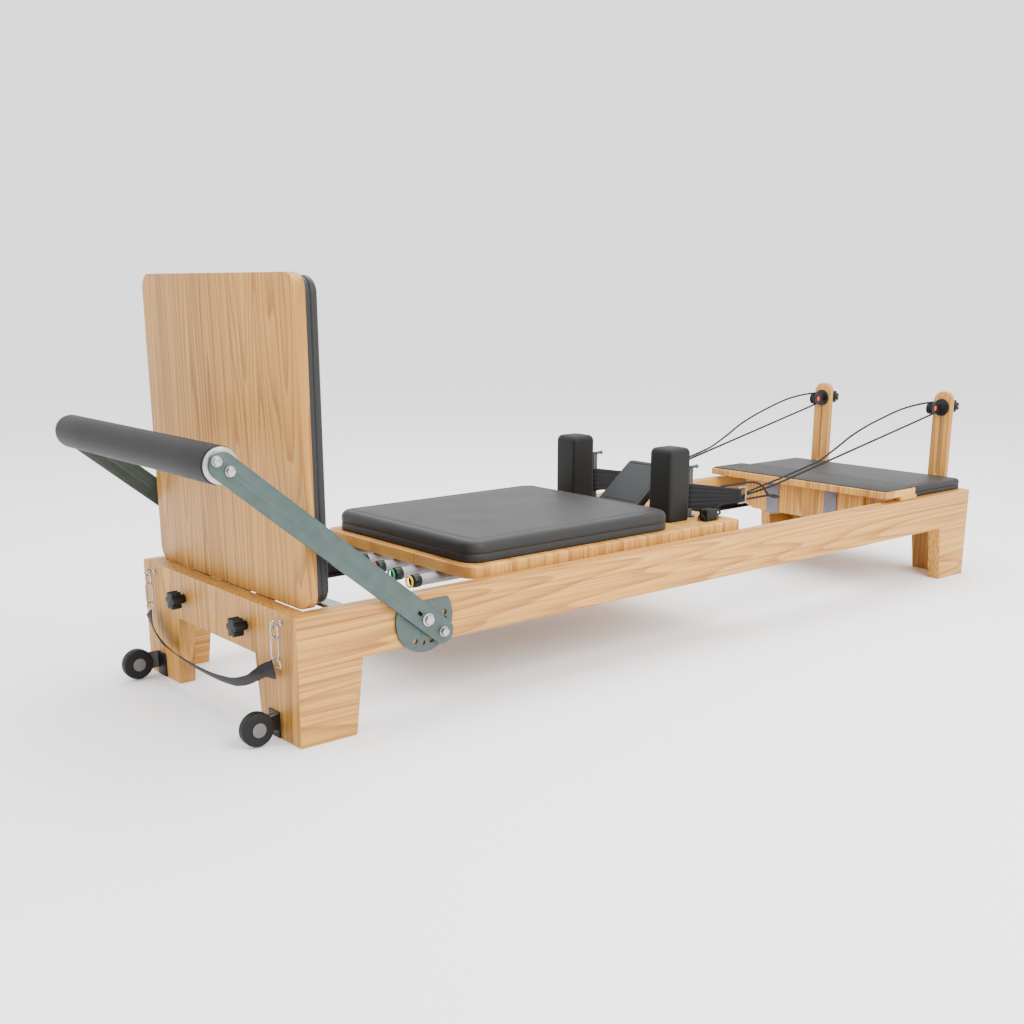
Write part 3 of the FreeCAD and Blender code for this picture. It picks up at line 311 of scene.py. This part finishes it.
def makeWebbing(name, colour, threads, picks, strength):
    material, tree, shader = startFinish(name, colour, 0.72)
    where = addNode(tree, "ShaderNodeTexCoord")
    split = addNode(tree, "ShaderNodeSeparateXYZ")
    tree.links.new(where.outputs["UV"], split.inputs["Vector"])
    across = calculate(tree, "MULTIPLY", split.outputs["X"], threads)
    along = calculate(tree, "MULTIPLY", split.outputs["Y"], picks)
    warp = calculate(tree, "PINGPONG", across, 0.5)
    weft = calculate(tree, "PINGPONG", calculate(tree, "ADD", along, calculate(tree, "MULTIPLY", across, 0.5)), 0.5)
    height = calculate(tree, "MULTIPLY", warp, calculate(tree, "ADD", weft, 0.35))
    addBump(tree, shader, height, strength, 0.0008)
    # colour follows the weave's height: painted shade in the low threads, painted highlight on the raised ones
    tone = ramp(tree, height, (0.0, scaled(colour, 0.45)), (0.45, scaled(colour, 1.5)))
    tree.links.new(tone, shader.inputs["Base Color"])
    shader.inputs["Sheen Weight"].default_value = 0.04
    return material


def makeBraid(name, colour, strands, pitch, strength):
    material, tree, shader = startFinish(name, colour, 0.68)
    where = addNode(tree, "ShaderNodeTexCoord")
    split = addNode(tree, "ShaderNodeSeparateXYZ")
    tree.links.new(where.outputs["UV"], split.inputs["Vector"])
    around = calculate(tree, "MULTIPLY", split.outputs["X"], strands)
    along = calculate(tree, "MULTIPLY", split.outputs["Y"], 1 / pitch)
    left = calculate(tree, "PINGPONG", calculate(tree, "ADD", around, along), 0.5)
    right = calculate(tree, "PINGPONG", calculate(tree, "SUBTRACT", around, along), 0.5)
    height = calculate(tree, "MAXIMUM", left, right)
    addBump(tree, shader, height, strength, 0.0009)
    # colour follows the braid's height: painted shade in the hollows, painted highlight on the strand crests
    tone = ramp(tree, height, (0.15, scaled(colour, 0.5)), (0.5, scaled(colour, 1.6)))
    tree.links.new(tone, shader.inputs["Base Color"])
    return material


carryWebbing = makeWebbing("carry strap webbing", (0.003, 0.0035, 0.007), 12, 420, 0.6)
handleWebbing = makeWebbing("handle webbing", (0.003, 0.0035, 0.007), 20, 420, 0.6)
ropeBraid = makeBraid("rope braid", (0.007, 0.0072, 0.0085), 8, 0.012, 0.7)
print("finishes made")


# hard pieces: each is its CAD node with the edges eased

def addObject(name, mesh, finish, body, slot, *nodes):
    piece = bpy.data.objects.new(name, mesh)
    scene.collection.objects.link(piece)
    for material in finish if isinstance(finish, (list, tuple)) else [finish]:
        mesh.materials.append(material)
    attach(piece, body)
    if nodes:
        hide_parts(*nodes)
    return piece


def softenShading(mesh, angle=32):
    mesh.shade_smooth()
    mesh.set_sharp_from_angle(angle=math.radians(angle))


def cleanCopy(node):
    shape = bmesh.new()
    shape.from_mesh(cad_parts[node].data)
    bmesh.ops.remove_doubles(shape, verts=shape.verts, dist=1e-6)
    bmesh.ops.dissolve_limit(shape, angle_limit=math.radians(0.5), verts=shape.verts, edges=shape.edges)
    return shape


def easeEdges(shape, width, segments=2, least=40, most=100):
    sharp = []
    for edge in shape.edges:
        if len(edge.link_faces) == 2 and least < math.degrees(edge.calc_face_angle(0)) < most:
            sharp.append(edge)
    if sharp and width:
        bmesh.ops.bevel(
            shape, geom=sharp, offset=width, segments=segments, profile=0.5, affect="EDGES", clamp_overlap=True
        )


def easedPiece(name, node, finish, body, slot, width, segments=2, least=40, most=100):
    shape = cleanCopy(node)
    easeEdges(shape, width, segments, least, most)
    mesh = bpy.data.meshes.new(name)
    shape.to_mesh(mesh)
    shape.free()
    mesh.materials.clear()
    softenShading(mesh)
    return addObject(name, mesh, finish, body, slot, node)


hardPieces = {
    "side_rail_near": (railWood, "frame", "beech_wood", 0.0020),
    "side_rail_far": (railWood, "frame", "beech_wood", 0.0020),
    "foot_end_board": (shadedEndWood, "frame", "beech_wood", 0.0020),
    "head_end_board": (shadedEndWood, "frame", "beech_wood", 0.0020),
    "riser_near": (riserWood, "frame", "beech_wood", 0.0018),
    "riser_far": (riserWood, "frame", "beech_wood", 0.0018),
    "platform_plank": (plankWood, "frame", "beech_wood", 0.0010),
    "platform_mat": (gripMat, "frame", "grip_mat", 0.0008),
    "platform_base": (plankWood, "frame", "beech_wood", 0.0015),
    "platform_straps": (strapMetal, "frame", "slate_metal", 0.0008),
    "jump_panel": (shadedPanelWood, "jump_board", "beech_wood", 0.0010),
    "jump_tongues": (blackMetal, "jump_board", "slate_metal", 0.0010),
    "jump_sockets": (blackMetal, "frame", "black_metal", 0.0006),
    "wheel_tracks": (blackMetal, "frame", "black_metal", 0.0008),
    "spring_bar": (barMetal, "frame", "grey_metal", 0.0008),
    "index_plates": (slateMetal, "frame", "slate_metal", 0.0006),
    "footbar_pivots": (zincSteel, "frame", "zinc_steel", 0.0008),
    "footbar_arm_near": (slateMetal, "footbar", "slate_metal", 0.0009),
    "footbar_arm_far": (slateMetal, "footbar", "slate_metal", 0.0009),
    "footbar_core": (zincSteel, "footbar", "zinc_steel", 0.0008),
    "carriage_deck": (deckWood, "carriage", "beech_wood", 0.0012),
    "wheel_hangers": (blackMetal, "carriage", "black_metal", 0.0008),
    "spring_caps": (springCapPlastic, "carriage", "black_plastic", 0.0007),
    "rope_posts": (postSteel, "carriage", "zinc_steel", 0.0008),
    "rope_cleats": (knobPlastic, "carriage", "black_plastic", 0.0008),
    "handle_links": (zincSteel, "carriage", "zinc_steel", 0.0),
    "headrest_hinge": (zincSteel, "carriage", "zinc_steel", 0.0004),
    "headrest_board": (blackPlastic, "headrest", "black_plastic", 0.0008),
    "riser_bolts": (blackPlastic, "frame", "zinc_steel", 0.0008),
    "pulley_housings": (blackPlastic, "frame", "black_plastic", 0.0006),
    "pulley_caps": (redPlastic, "frame", "red_plastic", 0.0006),
    "strap_hardware": (zincSteel, "frame", "zinc_steel", 0.0),
    "jump_knob_near": (knobPlastic, "jump_knob_near", "black_plastic", 0.0014),
    "jump_knob_far": (knobPlastic, "jump_knob_far", "black_plastic", 0.0014),
    "riser_knob_near": (knobPlastic, "riser_knob_near", "black_plastic", 0.0012),
    "riser_knob_far": (knobPlastic, "riser_knob_far", "black_plastic", 0.0012),
    "sheave_near": (blackPlastic, "sheave_near", "black_plastic", 0.0004),
    "sheave_far": (blackPlastic, "sheave_far", "black_plastic", 0.0004),
    "carriage_wheel_foot_near": (rollerRubber, "carriage_wheel_foot_near", "grey_urethane", 0.0015),
    "carriage_wheel_foot_far": (rollerRubber, "carriage_wheel_foot_far", "grey_urethane", 0.0015),
    "carriage_wheel_head_near": (rollerRubber, "carriage_wheel_head_near", "grey_urethane", 0.0015),
    "carriage_wheel_head_far": (rollerRubber, "carriage_wheel_head_far", "grey_urethane", 0.0015),
}
for node, (finish, body, slot, width) in hardPieces.items():
    easedPiece(node.replace("_", " ").title().replace(" ", ""), node, finish, body, slot, width)
print("hard pieces eased:", len(hardPieces))


# transport wheels: dark tyres, grey hub discs on their axles

transportWheel = {"centreX": -61, "centreZ": 38, "hubRadius": 15.3, "bevel": 0.0045}


def makeTransportWheels(settings):
    centre = fromFoot(settings["centreX"], 0, settings["centreZ"])
    for side in ("near", "far"):
        node = f"transport_wheel_{side}"
        easedPiece(f"TransportWheel{side.title()}", node, rollerRubber, node, "grey_urethane", settings["bevel"], 4)
    brackets = easedPiece("WheelBrackets", "wheel_brackets", [blackMetal, hubPlastic], "frame", "black_metal", 0.0008)
    for face in brackets.data.polygons:
        out = face.center - centre
        if math.hypot(out.x, out.z) < settings["hubRadius"] / 1000:
            face.material_index = 1


makeTransportWheels(transportWheel)


# meshes swept along a line, with u round it and v along it in metres

def sweptMesh(name, centres, outline, closed=False, sideways=None, capped=True):
    # outline(i) gives the section's points there as (side, up) pairs
    count = len(centres)
    shape = bmesh.new()
    layer = shape.loops.layers.uv.new("along")
    rings = []
    runs = [0.0]
    for i in range(1, count):
        runs.append(runs[-1] + (centres[i] - centres[i - 1]).length)
    side = None
    for i in range(count):
        ahead = centres[(i + 1) % count] if closed or i < count - 1 else centres[i]
        behind = centres[i - 1] if closed or i else centres[i]
        lead = (ahead - behind).normalized()
        if sideways:
            side = Vector(sideways[i])
        elif side is None:
            side = lead.orthogonal()
        side = (side - lead * side.dot(lead)).normalized()
        up = lead.cross(side)
        rings.append([shape.verts.new(centres[i] + side * a + up * b) for a, b in outline(i)])
    around = len(rings[0])
    for i in range(count if closed else count - 1):
        following = (i + 1) % count
        vEnd = runs[following] if following else runs[-1] + (centres[0] - centres[-1]).length
        for j in range(around):
            beside = (j + 1) % around
            face = shape.faces.new((rings[i][j], rings[i][beside], rings[following][beside], rings[following][j]))
            for loop, (u, v) in zip(face.loops, ((j, runs[i]), (j + 1, runs[i]), (j + 1, vEnd), (j, vEnd))):
                loop[layer].uv = (u / around, v)
    if capped and not closed:
        shape.faces.new(list(reversed(rings[0])))
        shape.faces.new(rings[-1])
    bmesh.ops.recalc_face_normals(shape, faces=shape.faces)
    mesh = bpy.data.meshes.new(name)
    shape.to_mesh(mesh)
    shape.free()
    softenShading(mesh, 50)
    return mesh


def circleOutline(radius, count):
    turns = [2 * math.pi * i / count for i in range(count)]
    points = [(radius * math.cos(turn), radius * math.sin(turn)) for turn in turns]
    return lambda i: points


# ropes: from the handle's link up over the pulley and back to the cleat

ropeSettings = {
    "diameter": 0.006,
    "upper": [
        (1501, 200, 333), (1555, 200, 344), (1620, 200, 354), (1683, 201, 366), (1755, 203, 380), (1815, 205, 393),
        (1856, 206, 410), (1903, 207, 430), (1955, 209, 455), (2031, 211, 480), (2105, 214, 499), (2186, 217, 518),
        (2262, 220, 527), (2320, 221, 530),
    ],
    "pulley": [(2347, 221, 530), (2362.5, 221, 530), (2373, 221, 519.5), (2373, 221, 504.5), (2362.5, 221, 494)],
    "slack": [
        (2340, 221, 489), (1640, 205, 348), (1600, 204, 341), (1530, 197, 329), (1470, 183, 320), (1400, 174, 317),
        (1400, 174, 355), (1470, 183, 357), (1522, 206, 363), (1556, 213, 348), (1574, 213, 322), (1604, 211, 310),
        (1643, 208, 308.5), (1643, 171, 308.5), (1585, 171, 308), (1515, 173, 307.6), (1450, 171, 307),
        (1395, 188, 307), (1358, 222, 306), (1335, 255, 302.5), (1310, 255, 302), (1256, 255, 302),
    ],
}


def routePoints(name, points):
    # the points of a smooth NURBS line through the route
    curve = bpy.data.curves.new(name, "CURVE")
    curve.dimensions = "3D"
    curve.resolution_u = 12
    line = curve.splines.new("NURBS")
    line.points.add(len(points) - 1)
    for point, place in zip(line.points, points):
        point.co = (*place, 1)
    line.order_u = 3
    line.use_endpoint_u = True
    holder = bpy.data.objects.new(name, curve)
    scene.collection.objects.link(holder)
    bpy.context.view_layer.update()
    read = bpy.data.meshes.new_from_object(holder)
    found = [v.co.copy() for v in read.vertices]
    bpy.data.objects.remove(holder)
    bpy.data.curves.remove(curve)
    bpy.data.meshes.remove(read)
    return found


def makeRopes(settings):
    for side, sign in (("near", -1), ("far", 1)):
        route = settings["upper"] + settings["pulley"] + settings["slack"]
        points = routePoints(f"ropeRoute{side}", [fromFoot(x, sign * y, z) for x, y, z in route])
        mesh = sweptMesh(f"rope{side}", points, circleOutline(settings["diameter"] / 2, 10))
        mesh.materials.append(ropeBraid)
        rope = bpy.data.objects.new(f"Rope{side.title()}", mesh)
        scene.collection.objects.link(rope)
        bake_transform(rope)
        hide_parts(f"rope_{side}")


makeRopes(ropeSettings)


# springs: smooth pale sleeves under the deck, with coloured rings at the free ends

springSettings = {"pitch": 84, "step": 0.0030, "deep": 0.0004, "relief": 0.5}


def makeSprings(settings):
    easedPiece("Springs", "springs", springSteel, "carriage", "spring_steel", 0.0006)
    tree = springSteel.node_tree
    where = addNode(tree, "ShaderNodeTexCoord")
    split = addNode(tree, "ShaderNodeSeparateXYZ")
    tree.links.new(where.outputs["Object"], split.inputs["Vector"])
    coils = calculate(tree, "PINGPONG", calculate(tree, "MULTIPLY", split.outputs["X"], 1 / settings["step"]), 0.5)
    addBump(tree, tree.nodes["Principled BSDF"], coils, settings["relief"], settings["deep"])


def makeSpringRings():
    colours = [yellowPlastic, greenPlastic, ringRed]
    piece = easedPiece("SpringRings", "spring_rings", colours, "carriage", "yellow_plastic", 0)
    for face in piece.data.polygons:
        row = round((face.center.y * 1000) / springSettings["pitch"])
        face.material_index = {2: 0, 1: 1, 0: 2}[abs(row)]


makeSprings(springSettings)
makeSpringRings()
print("springs and rings made")


# foot bar grip: a foam sleeve with soft ends over the bar's core

gripSettings = {
    "reach": 567, "rise": 39.1, "pivotX": 300, "pivotZ": 216,  # where the bar stands on its arms
    "radius": 36, "half": 351.5, "bore": 21, "lip": 6, "around": 72,
}


def makeGrip(settings):
    angle = math.radians(settings["rise"])
    forward, rise = settings["reach"] * math.cos(angle), settings["reach"] * math.sin(angle)
    centre = fromFoot(settings["pivotX"] - forward, 0, settings["pivotZ"] + rise)
    radius, half, lip = settings["radius"], settings["half"], settings["lip"]
    outline = [(-half, settings["bore"]), (-half, radius - lip)]
    outline += [(-half + lip * (1 - math.cos(a)), radius - lip + lip * math.sin(a)) for a in (0.4, 0.8, 1.2, 1.57)]
    outline += [(x, radius) for x in (-230, 0, 230)]
    outline += [(-x, r) for x, r in reversed(outline[:6])]
    shape = bmesh.new()
    around = settings["around"]
    rings = []
    for j in range(around):
        turn = 2 * math.pi * j / around
        places = [Vector((r * math.cos(turn), x, r * math.sin(turn))) / 1000 for x, r in outline]
        rings.append([shape.verts.new(centre + place) for place in places])
    for j in range(around):
        for k in range(len(outline)):
            following = (k + 1) % len(outline)
            beside = (j + 1) % around
            shape.faces.new((rings[j][k], rings[j][following], rings[beside][following], rings[beside][k]))
    bmesh.ops.recalc_face_normals(shape, faces=shape.faces)
    mesh = bpy.data.meshes.new("barGrip")
    shape.to_mesh(mesh)
    shape.free()
    softenShading(mesh)
    grip = addObject("BarGrip", mesh, barFoam, "footbar", "black_foam", "footbar_foam")


makeGrip(gripSettings)


# handles: ribbed webbing round the post, narrowing towards the link

handleSettings = {
    "post": (1286, 182), "tail": (1470, 200), "postRadius": 13, "tailRadius": 5,
    "postSpan": (315, 378), "tailSpan": (310, 347), "thick": 3.6, "ribs": 5, "ribDeep": 1.7,
}


def makeHandles(settings):
    for side, sign in (("Near", -1), ("Far", 1)):
        post = Vector((settings["post"][0], sign * settings["post"][1]))
        tail = Vector((settings["tail"][0], sign * settings["tail"][1]))
        run = tail - post
        lead = math.atan2(run.y, run.x)
        lean = math.acos((settings["postRadius"] - settings["tailRadius"]) / run.length)
        plan = []
        for k in range(25):  # round the post
            turn = lead + lean + (2 * math.pi - 2 * lean) * k / 24
            plan.append(post + Vector((math.cos(turn), math.sin(turn))) * settings["postRadius"])
        start = plan[-1]
        end = tail + Vector((math.cos(lead - lean), math.sin(lead - lean))) * settings["tailRadius"]
        plan += [start.lerp(end, k / 24) for k in range(1, 24)]
        for k in range(13):  # round the link's bar
            turn = lead - lean + 2 * lean * k / 12
            plan.append(tail + Vector((math.cos(turn), math.sin(turn))) * settings["tailRadius"])
        first = plan[0]
        last = plan[-1]
        plan += [last.lerp(first, k / 24) for k in range(1, 24)]
        centres = []
        spans = []
        for p in plan:
            share = min(1, max(0, (p.x - post.x) / run.x))
            low = settings["postSpan"][0] + (settings["tailSpan"][0] - settings["postSpan"][0]) * share
            high = settings["postSpan"][1] + (settings["tailSpan"][1] - settings["postSpan"][1]) * share
            centres.append(fromFoot(p.x, p.y, (low + high) / 2))
            spans.append((high - low) / 2000)
        level = sum((c.z for c in centres)) / len(centres)
        lifts = [c.z - level for c in centres]
        for c in centres:
            c.z = level

        def section(i):
            half, lift = spans[i], lifts[i]
            outer = []
            steps = 30
            for k in range(steps + 1):
                t = k / steps
                rib = abs(math.sin(math.pi * settings["ribs"] * t)) ** 0.6
                deep = (settings["thick"] / 2 - settings["ribDeep"] + settings["ribDeep"] * rib) / 1000
                outer.append((deep, lift - half + 2 * half * t))
            return outer + [(-a, b) for a, b in reversed(outer)]

        count = len(centres)
        outward = []
        for i in range(count):
            along = centres[(i + 1) % count] - centres[i - 1]
            outward.append(along.cross(Vector((0, 0, 1))))
        turned = lambda i: [(a, -b) for a, b in section(i)]
        mesh = sweptMesh(f"handleStrap{side}", centres, turned, closed=True, sideways=outward)
        addObject(f"HandleStrap{side}", mesh, handleWebbing, "carriage", "black_webbing", "handles")


makeHandles(handleSettings)


# carry strap: webbing hung between the rings at the foot end, turning on its way

carrySettings = {
    "wide": 38, "thick": 2.0, "x": -20.4, "drift": -4.6,
    "turned": (-0.70, 0, 0.70), "laid": (-0.93, 0, 0.36),  # directions across the strap, mid-way and near the end
    "stations": [
        (290, 154), (280, 138), (264, 119), (232, 103), (191, 91), (142, 84), (91, 80.5), (32, 79), (-28, 79.5),
        (-70, 82), (-110, 87), (-148, 96), (-186, 110), (-226, 128), (-260, 143), (-288, 154),
    ],
}


def smoothLine(points, steps):
    # Catmull-Rom through the points
    found = []
    for i in range(len(points) - 1):
        p0, p1, p2, p3 = (points[min(max(k, 0), len(points) - 1)] for k in range(i - 1, i + 3))
        for k in range(steps):
            t = k / steps
            square = (2 * p0 - 5 * p1 + 4 * p2 - p3) * t ** 2
            cube = (3 * p1 - p0 - 3 * p2 + p3) * t ** 3
            found.append(0.5 * (2 * p1 + (p2 - p0) * t + square + cube))
    return found + [points[-1]]


def makeCarryStrap(settings):
    line = smoothLine([Vector((0, y, z)) for y, z in settings["stations"]], 6)
    count = len(line)
    centres = []
    sideways = []
    for i, p in enumerate(line):
        share = min(1, i / 24, (count - 1 - i) / 12)
        edgeOn = min(1, max(0, (i - 60) / 16))
        lead = (line[min(i + 1, count - 1)] - line[max(i - 1, 0)]).normalized()
        flat = lead.cross(Vector((1, 0, 0)))
        tipped = Vector(settings["turned"]).lerp(Vector(settings["laid"]), edgeOn)
        side = flat * (1 - share) + tipped * share
        sideways.append((side - lead * side.dot(lead)).normalized())
        centres.append(fromFoot(settings["x"] + settings["drift"] * share, p.y, p.z))
    half, thick = settings["wide"] / 2000, settings["thick"] / 2000
    rim = [(-half, -thick * 0.4), (-half + 0.001, -thick), (0, -thick * 1.05), (half - 0.001, -thick)]
    rim += [(half, -thick * 0.4), (half, thick * 0.4), (half - 0.001, thick), (0, thick * 1.05)]
    rim += [(-half + 0.001, thick), (-half, thick * 0.4)]
    mesh = sweptMesh("carryStrap", centres, lambda i: rim, sideways=sideways)
    addObject("CarryStrap", mesh, carryWebbing, "frame", "black_webbing", "carry_strap")


makeCarryStrap(carrySettings)
print("straps made")


# upholstered pads: loops of a rounded rectangle stacked up the pad's own profile, with its seams sunk in

padSettings = {
    "carriage_pad": {
        "name": "CarriagePad", "body": "carriage", "finish": padVinyl, "fill": 0.85, "up": "z",
        "corner": 44, "crown": 1.5, "roll": 17, "sideSeam": 0.40, "topSeam": 27,
    },
    "jump_pad": {
        "name": "JumpPad", "body": "jump_board", "finish": padVinyl, "fill": 0.8, "up": "x",
        "corner": 34, "crown": 1.0, "roll": 13, "sideSeam": 0.40, "topSeam": 24,
    },
    "head_cushion": {
        "name": "HeadCushion", "body": "frame", "finish": padVinyl, "fill": 0.85, "up": "z",
        "corner": 18, "crown": 1.0, "roll": 12, "sideSeam": 0.40, "topSeam": 20,
    },
    "shoulder_rest_near": {
        "name": "ShoulderRestNear", "body": "carriage", "finish": restVinyl, "fill": 0.9, "up": "z",
        "corner": 12, "crown": 1.5, "roll": 16, "sideSeam": None, "topSeam": 18,
    },
    "shoulder_rest_far": {
        "name": "ShoulderRestFar", "body": "carriage", "finish": restVinyl, "fill": 0.9, "up": "z",
        "corner": 12, "crown": 1.5, "roll": 16, "sideSeam": None, "topSeam": 18,
    },
    "headrest_pad": {
        "name": "HeadrestPad", "body": "headrest", "finish": headVinyl, "fill": 0.7, "up": "tilt",
        "corner": 11, "crown": 0.5, "roll": 5, "sideSeam": None, "topSeam": 12,
    },
}
headrestTilt = 38.2  # degrees from level
crownRings = 12


def padAxes(up):
    # the pad's long, wide and upward directions
    if up == "x":
        return Vector((0, 1, 0)), Vector((0, 0, 1)), Vector((1, 0, 0))
    tilt = math.radians(headrestTilt if up == "tilt" else 0)
    along = Vector((math.cos(tilt), 0, math.sin(tilt)))
    return along, Vector((0, 1, 0)), Vector((-math.sin(tilt), 0, math.cos(tilt)))


def roundedLoop(long, wide, corner, inset):
    points = []
    corner = max(corner - inset, 2.0)
    for quarter in range(4):
        turn = math.pi / 2 * quarter
        a = (long / 2 - inset - corner) * (1 if quarter in (0, 3) else -1)
        b = (wide / 2 - inset - corner) * (1 if quarter in (0, 1) else -1)
        for k in range(13):
            angle = turn + math.pi / 2 * k / 12
            points.append((a + corner * math.cos(angle), b + corner * math.sin(angle)))
    return points


def padProfile(tall, settings):
    # pairs of inset and height, in millimetres, from the base to the middle of the top
    roll, crown, seam = settings["roll"], settings["crown"], settings["topSeam"]
    pairs = [(3.0, 0.0), (0.8, 1.2), (0.2, 4.0)]
    if settings["sideSeam"]:
        level = tall * settings["sideSeam"]
        pairs += [(0.0, level * 0.6), (0.3, level - 3.0), (1.2, level - 1.0), (2.2, level)]
        pairs += [(1.2, level + 1.0), (0.3, level + 3.0)]
    else:
        pairs += [(0.0, 12.0), (0.0, tall * 0.5)]
    shoulder = tall - crown
    for k in range(9):
        turn = math.pi / 2 * k / 8
        pairs.append((0.2 + roll * (1 - math.cos(turn)), shoulder - roll + roll * math.sin(turn)))
    for beside, sunk in ((-2.5, -0.2), (-1.0, 0.3), (0.0, 1.1), (1.0, 0.3), (2.5, -0.3)):
        pairs.append((seam + beside, shoulder - sunk))
    return pairs


def makePad(node, settings):
    along, across, up = padAxes(settings["up"])
    places = [v.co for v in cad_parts[node].data.vertices]
    spans = []
    for way in (along, across, up):
        reach = [p.dot(way) for p in places]
        spans.append((min(reach) * 1000, max(reach) * 1000))
    (low, high), (left, right), (base, top) = spans
    long, wide, tall = high - low, right - left, top - base
    pairs = padProfile(tall, settings)
    shape = bmesh.new()
    rings = []

    def addRing(inset, height):
        ring = []
        for a, b in roundedLoop(long, wide, settings["corner"], inset):
            inPlane = along * ((low + high) / 2 + a) + across * ((left + right) / 2 + b)
            ring.append(shape.verts.new((inPlane + up * (base + height)) / 1000))
        rings.append(ring)

    for inset, height in pairs:
        addRing(inset, height)
    start = settings["topSeam"] + 2.5
    reach = min(long, wide) / 2 - 3
    for k in range(1, crownRings + 1):  # a low crown to the middle
        share = k / crownRings
        addRing(start + (reach - start) * share, tall - settings["crown"] * (1 - share) ** 2)
    around = len(rings[0])
    for i in range(len(rings) - 1):
        for j in range(around):
            beside = (j + 1) % around
            shape.faces.new((rings[i][j], rings[i][beside], rings[i + 1][beside], rings[i + 1][j]))
    shape.faces.new(list(reversed(rings[0])))
    shape.faces.new(rings[-1])
    bmesh.ops.recalc_face_normals(shape, faces=shape.faces)
    mesh = bpy.data.meshes.new(settings["name"])
    shape.to_mesh(mesh)
    shape.free()
    softenShading(mesh, 60)
    piece = addObject(settings["name"], mesh, settings["finish"], settings["body"], "black_vinyl", node)


for node, settings in padSettings.items():
    makePad(node, settings)
print("pads upholstered:", len(padSettings))


# floor and light

lightSettings = {
    "world": (1.0, 1.0, 1.0, 1.9),
    "floor": (0.97, 0.97, 0.97),
    "lamps": {
        "key": {"place": (-0.2, -3.8, 3.0), "aim": (0, 0, 0.3), "size": 2.6, "power": 230},
        "fill": {"place": (-3.8, 0.2, 2.4), "aim": (-0.6, 0, 0.3), "size": 2.4, "power": 25},
        "top": {"place": (0.6, 0.6, 3.8), "aim": (0.2, 0, 0.2), "size": 3.0, "power": 170},
    },
}


def makeRoom(settings):
    bpy.ops.mesh.primitive_plane_add(size=60, location=(0, 0, -0.0005))
    floor = bpy.context.object
    floor.name = "floor"
    material = startFinish("studio floor", settings["floor"], 0.9)[0]
    floor.data.materials.append(material)
    world = bpy.data.worlds.new("studio")
    world.use_nodes = True
    world.node_tree.nodes["Background"].inputs["Color"].default_value = settings["world"][:3] + (1,)
    world.node_tree.nodes["Background"].inputs["Strength"].default_value = settings["world"][3]
    scene.world = world
    for name, lamp in settings["lamps"].items():
        light = bpy.data.lights.new(name, "AREA")
        light.size = lamp["size"]
        light.energy = lamp["power"]
        holder = bpy.data.objects.new(name, light)
        holder.location = lamp["place"]
        holder.rotation_euler = (Vector(lamp["aim"]) - Vector(lamp["place"])).to_track_quat("-Z", "Y").to_euler()
        scene.collection.objects.link(holder)


makeRoom(lightSettings)
print("room lit")
